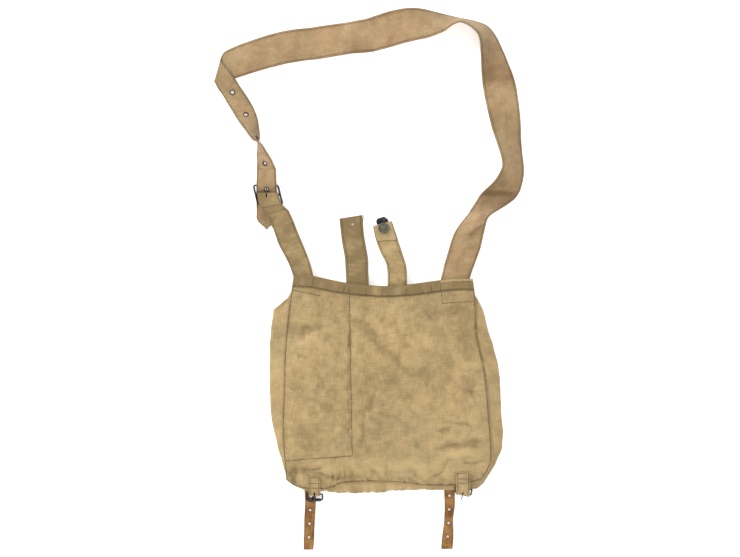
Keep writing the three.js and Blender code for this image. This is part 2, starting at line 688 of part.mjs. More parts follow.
// Tongue of the strap buckle: from the top of the middle bar through the strap's eyelet to below the
// first bar
const tongueRing = BUCKLE_WIRE + 2 * GAP + TONGUE_WIRE;
const tongueRoot = new THREE.Vector3(tailX, middleBar.y, BAR_RISE + tongueRing / 2);
const tongueTip = new THREE.Vector3(
  tailX,
  firstBar.y,
  BAR_RISE - BUCKLE_WIRE / 2 - GAP - TONGUE_WIRE / 2,
);

// Where the tongue goes through the slanting stretch of the strap
function crossing() {
  const strap = slopeFoot.clone().sub(slopeTop);
  const tongue = tongueTip.clone().sub(tongueRoot);
  const offset = slopeTop.clone().sub(tongueRoot);
  const area = tongue.y * strap.z - tongue.z * strap.y;
  const part = (offset.y * strap.z - offset.z * strap.y) / area;
  return tongueRoot.clone().addScaledVector(tongue, part);
}

// Places along the strap's narrow end, measured back from the buckle
const runLengths = [0];
for (let i = 1; i < endRows.length; i++) {
  runLengths.push(runLengths[i - 1] + endRows[i].middle.distanceTo(endRows[i - 1].middle));
}
function strapAt(length) {
  const i = Math.max(1, runLengths.findIndex((l) => l >= length));
  const [a, b] = [endRows[i - 1], endRows[i]];
  const t = (length - runLengths[i - 1]) / (runLengths[i] - runLengths[i - 1]);
  const along = b.middle.clone().sub(a.middle).normalize();
  const side = a.side.clone().lerp(b.side, t).normalize();
  return { point: a.middle.clone().lerp(b.middle, t), normal: along.cross(side).normalize() };
}
const buckleEyelet = crossing();
const slopeTopIndex = endRows.findIndex(({ middle }) => middle === slopeTop);
const eyeletRun = runLengths[slopeTopIndex] + slopeTop.distanceTo(buckleEyelet);
const eyelets = [4, 3, 2, 1].map((k) => strapAt(eyeletRun - k * EYELET_PITCH));
eyelets.push({
  point: buckleEyelet,
  normal: slopeFoot.clone().sub(slopeTop).cross(acrossBuckle).normalize(),
});

// Eyelet: two flanges and the barrel between them
const barrel = EYELET_BORE / 2 + EYELET_WALL;
const faceRise = WEBBING / 2 + EYELET_CLEARANCE;
const flangeRise = faceRise + EYELET_PLATE;
const EYELET_PROFILE = [
  [EYELET_BORE / 2, -flangeRise],
  [EYELET_FLANGE / 2, -flangeRise],
  [EYELET_FLANGE / 2, -faceRise],
  [barrel, -faceRise],
  [barrel, faceRise],
  [EYELET_FLANGE / 2, faceRise],
  [EYELET_FLANGE / 2, flangeRise],
  [EYELET_BORE / 2, flangeRise],
  [EYELET_BORE / 2, -flangeRise],
].map(([x, y]) => new THREE.Vector2(x, y));
eyelets.forEach(({ point, normal }, i) => {
  const ring = new THREE.LatheGeometry(EYELET_PROFILE, 12);
  add("strap_eyelet_" + (i + 1), standAlong(ring, normal, point), DULL_STEEL, 0.5, 0.8);
});

// Each eyelet's hole, and the cloth that its flanges press flat
const strapHoles = eyelets.flatMap(({ point, normal }) => [
  punch(point, normal, 2 * barrel + 2 * GAP, 3 * WEBBING),
  ...[1, -1].map((side) =>
    punch(
      point.clone().addScaledVector(normal, side * 1.5 * WEBBING),
      normal,
      EYELET_FLANGE + 2 * GAP,
      2 * WEBBING,
    ),
  ),
]);
// The strap is two solids: the wide run up to its flat fold, and the narrow end from that fold
add("shoulder_strap", clothSolid(ribbonGrid(wideRows, 4), WEBBING), STRAP_TAN, 0.9);
add("shoulder_strap_end", cut(clothSolid(ribbonGrid(endRows, 4), WEBBING), strapHoles), STRAP_TAN, 0.9);

// Frame of the strap buckle
function buckleFrame() {
  const half = BUCKLE_WIDTH / 2 - BUCKLE_WIRE / 2;
  const [a, b, c] = [firstBar, middleBar, rearBar];
  const end = (bar, side) => bar.clone().add(new THREE.Vector3(side * half, 0, 0));
  const bars = [a, b, c].map((bar) => rod(end(bar, -1), end(bar, 1), BUCKLE_WIRE));
  const sides = [-1, 1].map((side) => rod(end(a, side), end(c, side), BUCKLE_WIRE));
  return joined([...bars, ...sides]);
}
add("strap_buckle_frame", buckleFrame(), DARK_STEEL, 0.5, 0.8);

const tongueEyeCentre = new THREE.Vector3(tailX, middleBar.y, BAR_RISE);
add(
  "strap_buckle_tongue",
  joined([
    eye(tongueEyeCentre, new THREE.Vector3(1, 0, 0), tongueRing, TONGUE_WIRE),
    rod(tongueRoot, tongueTip, TONGUE_WIRE),
  ]),
  DULL_STEEL,
  0.6,
  0.7,
);

// Buckle strap: foot, run, loop round the middle bar, and the end sewn below its own start
const buckleRun = sampled(BUCKLE_STRAP_RUN, 18, BUCKLE_STRAP);
const loopHalf = new THREE.Vector3(-BUCKLE_WIDTH / 2 + BUCKLE_WIRE + BUCKLE_PLAY, 0, 0);
const overRear = BAR_RISE + WRAP + 2 * GAP + LAYER;
const overRow = (bar, z, lean) => ({
  middle: new THREE.Vector3(bar.x, bar.y, z),
  side: loopHalf.clone().applyAxisAngle(new THREE.Vector3(0, 0, 1), lean),
});
const loopRows = [overRow(rearBar, overRear, 0.15), overRow(middleBar, BAR_RISE + WRAP, 0)];
for (const turn of [0.25, 0.5, 0.75, 1]) {
  const angle = Math.PI * turn;
  const middle = middleBar.clone();
  middle.y += Math.sin(angle) * WRAP;
  middle.z += Math.cos(angle) * WRAP;
  loopRows.push({ middle, side: loopHalf.clone() });
}
const CLEAR_WRAP = WRAP + 2 * GAP;
for (const angle of [-1.6, -0.8, 0]) {
  const row = overRow(rearBar, BAR_RISE + Math.cos(angle) * CLEAR_WRAP, 0);
  row.middle.y -= Math.sin(angle) * CLEAR_WRAP;
  loopRows.push(row);
}
const sewnEnd = buckleRun[buckleRun.length - 1];
loopRows.push({
  middle: sewnEnd.middle.clone().add(new THREE.Vector3(0, 0, -LAYER)),
  side: sewnEnd.side.clone(),
});
const slotWidth = TONGUE_WIRE + 2 * GAP;
const slotLength = 2 * WRAP + WEBBING + 4 * GAP;
const tongueSlot = new THREE.BoxGeometry(slotWidth, slotLength, 4 * WRAP).translate(
  tailX,
  middleBar.y,
  BAR_RISE,
);
add(
  "buckle_strap",
  cut(clothSolid(ribbonGrid([...buckleRun, ...loopRows], 4), WEBBING), [tongueSlot]),
  STRAP_TAN,
  0.9,
);

// Belt tabs: y as a share of TAB_REACH above the top edge, x as a share of TAB_REACH off the foot
const BELT_TAB_LEFT = [
  { x: -0.01, y: -0.17, across: 180, lift: 1, width: 1 },
  { x: 0, y: 0, across: 180, lift: 1, width: 1 },
  { x: -0.01, y: 0.22, across: 180, lift: 0.8, width: 1 },
  { x: -0.02, y: 0.4, across: 184, lift: 0.4, width: 1 },
  { x: -0.07, y: 0.69, across: 189, lift: 0.06, width: 1 },
  { x: -0.1, y: 1, across: 189, lift: 0, width: 1.02 },
];
const BELT_TAB_RIGHT = [
  { x: -0.01, y: -0.17, across: 180, lift: 1, width: 0.97 },
  { x: 0, y: 0, across: 180, lift: 1, width: 0.97 },
  { x: -0.01, y: 0.28, across: 176, lift: 0.75, width: 0.95 },
  { x: -0.08, y: 0.47, across: 176, lift: 0.35, width: 1.07 },
  { x: -0.15, y: 0.67, across: 184, lift: 0.12, width: 1.06 },
  { x: -0.22, y: 0.92, across: 195, lift: 0.18, width: 0.98 },
];
function tabRows(table, foot, width, steps) {
  return Array.from({ length: steps + 1 }, (_, i) => {
    const row = rowAt(table, i / steps);
    const made = ribbonRow(row, width);
    made.middle.x = foot.x + row.x * TAB_REACH;
    made.middle.y = foot.y + row.y * TAB_REACH;
    return made;
  });
}
const tabFootLeft = backAt(0.36, 1);
const tabFootRight = backAt(0.58, 1);
const leftTabRows = tabRows(BELT_TAB_LEFT, tabFootLeft, TAB_LEFT_WIDTH, 15);
const rightTabRows = tabRows(BELT_TAB_RIGHT, tabFootRight, TAB_RIGHT_WIDTH, 15);
add("belt_tab_left", clothSolid(ribbonGrid(leftTabRows, 4), WEBBING), KHAKI, 0.95);
add("belt_tab_right", clothSolid(ribbonGrid(rightTabRows, 4), WEBBING), KHAKI, 0.95);

// Patch sewn on the right belt tab, with its button
const patchTop = rightTabRows[rightTabRows.length - 1];
const patchRows = rightTabRows
  .filter(({ middle }) => middle.distanceTo(patchTop.middle) < PATCH_LENGTH)
  .map(({ middle, side }) => ({
    middle: middle.clone().add(new THREE.Vector3(0, 0, WEBBING / 2 + GAP * 1.5 + PATCH_CLOTH / 2)),
    side: side.clone().multiplyScalar(PATCH_SHARE),
  }));
add("belt_tab_patch", clothSolid(ribbonGrid(patchRows, 4), PATCH_CLOTH), PALE_CANVAS, 0.95);

const patchMiddle = patchRows[Math.floor(patchRows.length / 2)].middle;
const buttonBase = patchMiddle.clone().add(new THREE.Vector3(0, 0, PATCH_CLOTH / 2 + 2 * GAP));
const BUTTON_PROFILE = [
  [0, 0],
  [0.3, 0],
  [0.34, 0.3],
  [1, 0.35],
  [0.97, 0.75],
  [0.6, 0.95],
  [0, 1],
].map(([r, z]) => new THREE.Vector2((r * TAB_BUTTON) / 2, z * BUTTON_RISE));
const button = new THREE.LatheGeometry(BUTTON_PROFILE, 18).rotateX(Math.PI / 2);
add("tab_button", button.translate(buttonBase.x, buttonBase.y, buttonBase.z), BUTTON_GREY, 0.6, 0.3);

// Belt hook: a bent plate below the end of the right tab
const hookTurn = THREE.MathUtils.degToRad(17);
const hookPlate = new THREE.BoxGeometry(HOOK_WIDTH, HOOK_LENGTH, HOOK_PLATE);
const hook = hookPlate
  .rotateZ(hookTurn)
  .translate(patchTop.middle.x, patchTop.middle.y + HOOK_LENGTH * 0.2, HOOK_PLATE / 2);
add("tab_hook", hook, DARK_STEEL, 0.5, 0.7);

// Closing straps: sewn between the flap and the front panel, then out past the bottom.
// Offsets from the buckle above and the bend are shares of CLOSING_WIDTH.
function closingStrap(name, buckle, offsets) {
  const topX = buckle.x + offsets.top * CLOSING_WIDTH;
  const endX = buckle.x + offsets.end * CLOSING_WIDTH;
  const bend = offsets.bend * CLOSING_WIDTH;
  const bottomY = buckle.y + CLOSING_TUCK;
  const rows = [];
  const steps = 16;
  const start = bottomY + CLOSING_SEWN;
  const total = CLOSING_SEWN + CLOSING_LENGTH;
  const high = FLAP_CLOTH + GAP + LEATHER / 2;
  for (let i = 0; i <= steps; i++) {
    const share = i / steps;
    const past = Math.max(0, share * total - CLOSING_SEWN * 0.8) / total;
    const fall = THREE.MathUtils.smoothstep(past, 0, 0.12);
    const x = THREE.MathUtils.lerp(topX, endX, share) + bend * Math.sin(Math.PI * share);
    rows.push({
      middle: new THREE.Vector3(
        x,
        start - share * total,
        THREE.MathUtils.lerp(high, LEATHER / 2, fall),
      ),
      side: new THREE.Vector3(CLOSING_WIDTH / 2, 0, 0),
    });
  }
  const holes = [0, 1, 2, 3].map((k) => {
    const y = bottomY - CLOSING_LENGTH + CLOSING_HOLE_PITCH * (k + 0.9);
    const row = rows.reduce((a, b) => (Math.abs(b.middle.y - y) < Math.abs(a.middle.y - y) ? b : a));
    const point = new THREE.Vector3(row.middle.x, y, row.middle.z);
    return punch(point, new THREE.Vector3(0, 0, 1), CLOSING_HOLE, 4 * LEATHER);
  });
  const outline = cut(clothSolid(ribbonGrid(rows, 3), LEATHER), holes);
  add(name, outline, HIDE, 0.7);
}

// Small buckle on its tab: base bar in the tab's loop, and a second bar at the other end of the frame
function smallBuckle(side, base, turn, away, farRise, roller) {
  const out = new THREE.Vector3(-Math.sin(turn), -Math.cos(turn), 0).multiplyScalar(away);
  const along = new THREE.Vector3(Math.cos(turn), -Math.sin(turn), 0);
  const half = SMALL_BUCKLE_WIDTH / 2 - SMALL_WIRE / 2;
  const far = base.clone().addScaledVector(out, SMALL_BUCKLE_LENGTH);
  far.z = farRise;
  const end = (bar, s) => bar.clone().addScaledVector(along, s * half);
  const wires = [
    rod(end(base, -1), end(base, 1), SMALL_WIRE),
    rod(end(far, -1), end(far, 1), SMALL_WIRE),
    rod(end(base, -1), end(far, -1), SMALL_WIRE),
    rod(end(base, 1), end(far, 1), SMALL_WIRE),
  ];
  if (roller) {
    const length = SMALL_BUCKLE_WIDTH - 2 * SMALL_WIRE - 2 * ROLLER_PLAY;
    wires.push(punch(far, along, roller, length));
  }
  add("lower_buckle_" + side + "_frame", joined(wires), DARK_STEEL, 0.5, 0.8);
  return far;
}

// Tongue of a small buckle, its eye round the base bar
function smallTongue(side, base, turn, pitchAngle) {
  const along = new THREE.Vector3(Math.cos(turn), -Math.sin(turn), 0);
  const ring = SMALL_WIRE + 2 * GAP + SMALL_TONGUE;
  const out = new THREE.Vector3(-Math.sin(turn), -Math.cos(turn), 0).multiplyScalar(
    Math.cos(pitchAngle),
  );
  out.z = Math.sin(pitchAngle);
  const from = base.clone().addScaledVector(out, ring / 2);
  const to = base.clone().addScaledVector(out, SMALL_TONGUE_LENGTH);
  const arm = rod(from, to, SMALL_TONGUE);
  add(
    "lower_buckle_" + side + "_tongue",
    joined([eye(base, along, ring, SMALL_TONGUE), arm]),
    DULL_STEEL,
    0.6,
    0.7,
  );
}

// Lower tab: lies on the back panel's bottom edge and loops round the base bar of its buckle.
// Above the frame it comes down to the panel at a slope.
const TAB_SLOPE = 0.6;
function lowerTab(side, u, width, base, turn, far) {
  const wrap = SMALL_WIRE / 2 + GAP + WEBBING / 2;
  const along = new THREE.Vector3(Math.cos(turn), -Math.sin(turn), 0);
  const across = new THREE.Vector3(1, 0, 0);
  const rows = [];
  const lift = CANVAS / 2 + SLACK + WEBBING / 2;
  const overFrame = (y) => {
    if (!far) return 0;
    const part = (y - base.y) / (far.y - base.y);
    const fall = Math.max(0, y - far.y - SMALL_WIRE) * TAB_SLOPE;
    return THREE.MathUtils.lerp(base.z, far.z, Math.min(part, 1)) + wrap + 4 * GAP - fall;
  };
  for (const share of [1, 0.8, 0.6, 0.4, 0.2, 0.04]) {
    const v = (share * LOWER_TAB_REACH) / BAG_HEIGHT;
    const middle = offBack(u, v, lift);
    middle.z = Math.max(middle.z, overFrame(middle.y));
    rows.push({ middle, side: across.clone().multiplyScalar(width / 2) });
  }
  const edge = rows[rows.length - 1].middle;
  for (const [part, rise] of [
    [0.25, 0.88],
    [0.5, 0.7],
    [0.8, 0.42],
  ]) {
    const middle = edge.clone().lerp(base, part);
    middle.z = Math.max(THREE.MathUtils.lerp(base.z + wrap, edge.z, rise), overFrame(middle.y));
    rows.push({ middle, side: across.clone().lerp(along, part).setLength(width / 2) });
  }
  for (const angle of [0, 0.25, 0.5, 0.75, 1].map((part) => part * Math.PI)) {
    const out = new THREE.Vector3(-Math.sin(turn), -Math.cos(turn), 0);
    const middle = base.clone().addScaledVector(out, Math.sin(angle) * wrap);
    middle.z = base.z + Math.cos(angle) * wrap;
    rows.push({ middle, side: along.clone().multiplyScalar(width / 2) });
  }
  const slot = new THREE.BoxGeometry(SMALL_TONGUE + 2 * (GAP + SLOT_PLAY), 8 * wrap, 6 * wrap)
    .translate(0, WEBBING - 2 * wrap, 0)
    .rotateZ(-turn)
    .translate(base.x, base.y, base.z);
  add("lower_tab_" + side, cut(clothSolid(ribbonGrid(rows, 4), WEBBING), [slot]), KHAKI, 0.95);
}

// Base bar of a small buckle: just outside the gusset's fold, at a lift above it
const clearOfGusset = CANVAS / 2 + GAP + WEBBING + GAP + SMALL_WIRE / 2 + BAR_CLEARANCE;
function baseBar(u, share, lift) {
  const edge = backAt(u, 0);
  const fold = wingAt(share);
  return new THREE.Vector3(edge.x, fold.y - clearOfGusset, WING_RISE + lift);
}

const LEFT_TAB_U = 0.143;
const RIGHT_TAB_U = 0.9;
const leftBase = baseBar(LEFT_TAB_U, 0.383, BAR_LIFT_LEFT);
const rightBase = baseBar(RIGHT_TAB_U, 0.632, BAR_LIFT_RIGHT);
const rightTurn = 0.2;
const rightTonguePitch = -0.35;

const rollerRise = LEATHER + GAP + SMALL_ROLLER / 2;
const leftFar = smallBuckle("left", leftBase, 0, 1, rollerRise, SMALL_ROLLER);
// The left tongue rests on the roller, the free right one hangs outward
const rollerTop = leftFar.z + SMALL_ROLLER / 2 + GAP + SMALL_TONGUE / 2;
smallTongue("left", leftBase, 0, Math.atan2(rollerTop - leftBase.z, SMALL_BUCKLE_LENGTH));
lowerTab("left", LEFT_TAB_U, LOWER_TAB_LEFT, leftBase, 0, null);

const rightFar = smallBuckle("right", rightBase, rightTurn, -1, SEAM_RISE + RIGHT_FRAME_LIFT, 0);
smallTongue("right", rightBase, rightTurn, rightTonguePitch);
lowerTab("right", RIGHT_TAB_U, LOWER_TAB_RIGHT, rightBase, rightTurn, rightFar);

closingStrap("closing_strap_left", leftBase, { top: -0.26, end: -0.6, bend: 0 });
closingStrap("closing_strap_right", rightBase, { top: -1.3, end: -1.53, bend: 0.12 });

export default root;
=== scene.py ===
"""Canvas haversack lying face down on a pale table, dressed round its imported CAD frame.

Shapes are worked out in millimetres with the sizes of the CAD part, and meshes are made in metres.
"""

import math

import bmesh
import bpy
import numpy as np
from mathutils import Matrix, Vector


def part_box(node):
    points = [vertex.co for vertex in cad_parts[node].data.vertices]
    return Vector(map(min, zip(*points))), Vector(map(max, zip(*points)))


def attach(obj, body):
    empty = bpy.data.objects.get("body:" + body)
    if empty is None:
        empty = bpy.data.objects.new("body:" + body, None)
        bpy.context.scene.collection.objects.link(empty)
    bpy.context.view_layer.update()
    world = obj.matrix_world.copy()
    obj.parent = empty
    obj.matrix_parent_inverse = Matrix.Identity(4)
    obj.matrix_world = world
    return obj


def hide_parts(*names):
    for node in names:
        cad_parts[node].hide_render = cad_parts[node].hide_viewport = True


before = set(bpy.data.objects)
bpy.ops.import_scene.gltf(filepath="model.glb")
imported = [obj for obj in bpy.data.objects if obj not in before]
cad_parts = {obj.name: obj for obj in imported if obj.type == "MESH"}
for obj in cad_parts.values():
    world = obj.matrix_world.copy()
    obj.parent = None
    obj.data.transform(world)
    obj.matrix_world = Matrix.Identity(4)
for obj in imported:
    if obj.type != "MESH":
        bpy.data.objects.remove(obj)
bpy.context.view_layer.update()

MM = 0.001


def linked(name, data):
    """New object in the scene."""
    made = bpy.data.objects.new(name, data)
    bpy.context.scene.collection.objects.link(made)
    return made


# Camera: straight above, as in the photograph
VIEW_CENTRE = (-21.8, 144.8)
VIEW_WIDTH = 1006.4
CAMERA_HEIGHT = 4000
SENSOR = 36

camera_data = bpy.data.cameras.new("camera")
camera_data.sensor_width = SENSOR
camera_data.lens = SENSOR * CAMERA_HEIGHT / VIEW_WIDTH
camera_data.clip_end = 30
camera = linked("camera", camera_data)
camera.location = (VIEW_CENTRE[0] * MM, VIEW_CENTRE[1] * MM, CAMERA_HEIGHT * MM)
bpy.context.scene.camera = camera
bpy.context.scene.view_settings.view_transform = "Standard"

# Cloth and leather
CANVAS = 1.2
FLAP_CLOTH = 1.4
WEBBING = 1.6
LEATHER = 2
GAP = 0.3
SLACK = 0.6

# Bag
BAG_WIDTH = 320
BAG_HEIGHT = 290
MOUTH_RISE = 11.5
SEAM_RISE = 15
BELLY_RISE = 13
HEM_HEIGHT = 18
SEAM_ALLOWANCE = 7
FRONT_DROP = 26
FLAP_END_GAP = 22
POCKET_DEPTH = 4
WING_SAG = 2

# Shoulder strap
WIDE_STRAP = 44
NARROW_STRAP = 27.5
BUCKLE_STRAP = 30
LOOP_HEIGHT = 370
STRAP_TAIL = 46
STRAP_POINT = 11
EYELET_PITCH = 36.5
EYELET_BORE = 4.8
EYELET_FLANGE = 8

# Strap buckle
BUCKLE_WIRE = 2.6
BUCKLE_WIDTH = 36
BUCKLE_PITCH = 13
BUCKLE_SKEW = 0.24
BUCKLE_PLAY = 1.3
BUCKLE_APPROACH = 20
STRAIGHT_BAR = 0.36
TONGUE_WIRE = 1.5

# Belt tabs
TAB_LEFT_WIDTH = 31
TAB_RIGHT_WIDTH = 28
TAB_REACH = 92
PATCH_LENGTH = 26
PATCH_CLOTH = 1
PATCH_SHARE = 0.9
TAB_BUTTON = 14.6
BUTTON_RISE = 3.2

# Lower tabs, small buckles and closing straps
LOWER_TAB_LEFT = 16
LOWER_TAB_RIGHT = 19
LOWER_TAB_REACH = 17
SMALL_WIRE = 2.2
SMALL_ROLLER = 4.4
SMALL_BUCKLE_WIDTH = 24
SMALL_BUCKLE_LENGTH = 8.2
SMALL_TONGUE = 1.4
SMALL_TONGUE_LENGTH = 9.5
BAR_CLEARANCE = 1
BAR_LIFT_LEFT = 0.5
BAR_LIFT_RIGHT = 2.5
RIGHT_FRAME_LIFT = 3.4
RIGHT_TURN = 0.2
LEFT_TAB_U = 0.143
RIGHT_TAB_U = 0.9
CLOSING_WIDTH = 14
CLOSING_LENGTH = 82
CLOSING_SEWN = 26
CLOSING_HOLE = 3.4
CLOSING_HOLE_PITCH = 18.5
CLOSING_TUCK = 6
SLOT_PLAY = 0.2

# Heights that follow from the stack of layers
FLAP_RISE = FLAP_CLOTH / 2
FRONT_RISE = FLAP_CLOTH + GAP + LEATHER + GAP + CANVAS / 2
LIP_RISE = FRONT_RISE + CANVAS + GAP
FOOT_RISE = MOUTH_RISE - CANVAS / 2 - GAP - WEBBING / 2
WING_RISE = (SEAM_RISE + LIP_RISE) / 2 - WING_SAG
LAYER = WEBBING + GAP
HEM_SHARE = 1 - HEM_HEIGHT / BAG_HEIGHT

# Outline of the back panel in shares of the bag's width and height
TOP_EDGE = [
    (-0.391, 0.516), (-0.306, 0.509), (-0.225, 0.49), (-0.17, 0.478), (-0.113, 0.471),
    (-0.013, 0.463), (0.085, 0.469), (0.187, 0.484), (0.276, 0.496), (0.367, 0.498),
]
BOTTOM_EDGE = [
    (-0.423, -0.441), (-0.387, -0.469), (-0.34, -0.483), (-0.264, -0.485), (-0.223, -0.475),
    (-0.184, -0.456), (-0.061, -0.45), (0.06, -0.454), (0.149, -0.466), (0.23, -0.469),
    (0.323, -0.464), (0.408, -0.436),
]
LEFT_EDGE = [
    (-0.423, -0.441), (-0.434, -0.319), (-0.439, -0.174), (-0.433, -0.023), (-0.431, 0.117),
    (-0.421, 0.263), (-0.405, 0.413), (-0.391, 0.516),
]
RIGHT_EDGE = [
    (0.408, -0.436), (0.444, -0.356), (0.444, -0.258), (0.433, -0.103), (0.422, 0.033),
    (0.397, 0.169), (0.382, 0.253), (0.378, 0.399), (0.367, 0.498),
]

# Fold of the gusset: way round the bag, then x and y in the same shares
WING_EDGE = [
    (0.038, -0.412, 0.408), (0.059, -0.478, 0.352), (0.088, -0.487, 0.263), (0.114, -0.493, 0.188),
    (0.191, -0.493, -0.033), (0.235, -0.486, -0.159), (0.265, -0.468, -0.244), (0.291, -0.451, -0.319),
    (0.317, -0.431, -0.394), (0.344, -0.395, -0.452), (0.367, -0.34, -0.492), (0.397, -0.264, -0.493),
    (0.419, -0.21, -0.502), (0.443, -0.149, -0.502), (0.479, -0.06, -0.502), (0.529, 0.064, -0.49),
    (0.564, 0.153, -0.488), (0.598, 0.238, -0.488), (0.645, 0.353, -0.49), (0.656, 0.385, -0.482),
    (0.667, 0.412, -0.459), (0.673, 0.433, -0.42), (0.689, 0.46, -0.373), (0.717, 0.491, -0.295),
    (0.747, 0.496, -0.211), (0.762, 0.49, -0.169), (0.802, 0.485, -0.056), (0.834, 0.482, 0.033),
    (0.858, 0.474, 0.101), (0.891, 0.451, 0.192), (0.918, 0.429, 0.267), (0.946, 0.412, 0.347),
    (0.966, 0.386, 0.403),
]

# Creases of the back panel: path in shares of the bag, half width in shares of its width,
# rise in shares of BELLY_RISE
CREASES = [
    # the long diagonal fold and the ridge above it
    (
        ((-0.14, 0.3), (-0.085, 0.277), (-0.038, 0.192), (0.013, 0.155), (0.081, 0.075), (0.115, 0.052)),
        0.021, -0.14,
    ),
    (((-0.149, 0.338), (-0.06, 0.3), (0.013, 0.249), (0.06, 0.188)), 0.024, 0.16),
    # the upper left
    (((-0.391, 0.25), (-0.315, 0.253), (-0.262, 0.3)), 0.026, -0.15),
    (((-0.4, 0.18), (-0.323, 0.21), (-0.25, 0.278)), 0.024, 0.13),
    # the lower right
    (((0.217, -0.3), (0.302, -0.281), (0.404, -0.263), (0.452, -0.253)), 0.02, -0.3),
    (((0.238, -0.335), (0.336, -0.32), (0.43, -0.308)), 0.016, 0.17),
    (((0.33, -0.368), (0.387, -0.356), (0.43, -0.352)), 0.008, -0.17),
    (((0.285, -0.165), (0.353, -0.197)), 0.009, -0.12),
    (((0.19, -0.425), (0.255, -0.389)), 0.008, -0.12),
    # along the bottom
    (((-0.29, -0.415), (-0.208, -0.438), (-0.14, -0.432), (-0.04, -0.436)), 0.011, -0.19),
    (((0.05, -0.437), (0.149, -0.447)), 0.009, -0.15),
    (((-0.065, -0.387), (-0.03, -0.41)), 0.007, -0.1),
    (((-0.232, -0.4), (-0.226, -0.452)), 0.006, -0.13),
    (((-0.203, -0.395), (-0.2, -0.45)), 0.006, -0.13),
    (((-0.176, -0.4), (-0.17, -0.448)), 0.006, -0.1),
    (((-0.004, -0.38), (0.002, -0.431)), 0.007, -0.1),
    # the lower left corner and its tab
    (((-0.411, -0.372), (-0.387, -0.4), (-0.376, -0.452)), 0.013, -0.34),
    (((-0.372, -0.38), (-0.352, -0.45)), 0.01, 0.1),
    (((-0.35, -0.392), (-0.262, -0.394)), 0.008, -0.1),
    # over the sides of the inner pocket
    (((-0.155, 0.417), (-0.155, 0.03), (-0.152, -0.15), (-0.143, -0.328)), 0.008, -0.1),
    (((-0.155, 0.25), (-0.155, 0.18)), 0.006, -0.12),
    (((-0.429, -0.352), (-0.28, -0.338), (-0.145, -0.326)), 0.007, -0.08),
    (((-0.098, -0.12), (-0.098, -0.285)), 0.01, -0.09),
]

# Stains and faded spots of the back panel, with painted shade and painted highlights of its folds, its
# curled corner and the slit at its left seam: middle, half sizes and turn in mm and degrees, tone
STAINS_SHADE_AND_HIGHLIGHTS = [
    (108, 62, 9, 24, 10, -0.5), (48, 48, 9, 4, 15, -0.5), (82, 32, 8, 14, 20, -0.45),
    (54, 11, 9, 10, 0, -0.45), (114, 26, 14, 9, 0, 0.6), (45, 31, 7, 8, 0, 0.45),
    (79, -61, 14, 8, 25, -0.65), (44, -79, 5, 7, 0, -0.6), (50, -20, 10, 10, 0, 0.5),
    (96, -27, 16, 9, -30, 0.35), (-113, -72, 15, 17, 40, -0.4), (-129, 85, 7, 15, 0, -0.55),
    (-110, 79, 15, 8, 10, -0.35), (-106, 60, 20, 7, 12, 0.4), (-25, -108, 36, 5, 0, 0.55),
    (-50, -124, 38, 4, 2, -0.5), (12, -115, 15, 4, 20, -0.3), (36, -127, 16, 3, 0, -0.5),
    (-31, -60, 4, 22, 0, -0.4), (-56, -54, 5, 24, 0, -0.35), (-131, 107, 1.6, 8, 0, -1.2),
    (-125, -124, 4, 7, 20, -1.1), (-36, 30, 26, 18, 30, 0.25), (10, -60, 22, 26, 0, -0.2),
    (90, -88, 30, 6, 8, 0.4), (64, 96, 18, 9, 0, -0.2), (-70, -30, 14, 30, 0, 0.2),
    (112, -8, 8, 12, 0, -0.4), (30, -109, 85, 10, 0, 1), (-125, -125, 5, 8, 20, -1.6),
    (-108, -117, 19, 6, -8, -0.85), (96, 98, 40, 28, 0, -0.3), (-114, -131, 2.5, 2, 0, -0.9),
    (105, -70, 22, 34, 0, 0.3), (-10, 30, 60, 70, 0, -0.2),
]

# Straps: x, y, way across and tilt in degrees, width, lift off the table, layer
WIDE_RUN = [
    (0.985, -0.042, 188, 0, 0.92, 1, 0), (1.002, -0.007, 189, 0, 0.93, 1, 0),
    (1.037, 0.058, 184, 0, 0.97, 0.7, 0), (1.067, 0.107, 185, 0, 1, 0.3, 0),
    (1.094, 0.164, 189, -14, 1, 0.1, 0), (1.124, 0.206, 191, -31, 1, 0, 0),
    (1.171, 0.239, 182, -42, 1, 0.2, 0), (1.234, 0.272, 177, -20, 1, 0.8, 0),
    (1.291, 0.305, 176, 0, 1.1, 1.1, 0), (1.355, 0.353, 176, 28, 1, 0.3, 0),
    (1.387, 0.41, 177, 47, 1, 0, 0), (1.371, 0.47, 176, 44, 1, 0, 0),
    (1.35, 0.532, 178, 31, 1, 0, 0), (1.335, 0.594, 185, 17, 1, 0, 0),
    (1.313, 0.668, 189, 4, 1, 0, 0), (1.293, 0.729, 183, 6, 1, 0, 0),
    (1.269, 0.787, 181, 30, 1, 0, 0), (1.242, 0.845, 187, 48, 1, 0, 0),
    (1.184, 0.912, 222, 64, 1, 0, 0), (1.041, 0.946, 256, 79, 1, 0, 0),
    (0.93, 0.938, 271, 55, 1, 0, 0), (0.833, 0.935, 274, 30, 1, 0, 0),
    (0.722, 0.933, 278, 6, 1.03, 0, 0), (0.609, 0.919, 285, 0, 1.07, 0, 0),
    (0.444, 0.89, 283, 0, 1.05, 0, 0), (0.293, 0.875, 279, 12, 1, 0, 0),
    (0.07, 0.854, 277, 0, 1, 0, 0), (-0.117, 0.839, 281, 0, 1, 0, 0),
    (-0.311, 0.81, 283, 0, 0.97, 0, 0), (-0.452, 0.783, 279, 0, 0.95, 0, 0),
    (-0.557, 0.765, 254, 0, 0.96, 0, 0),
]
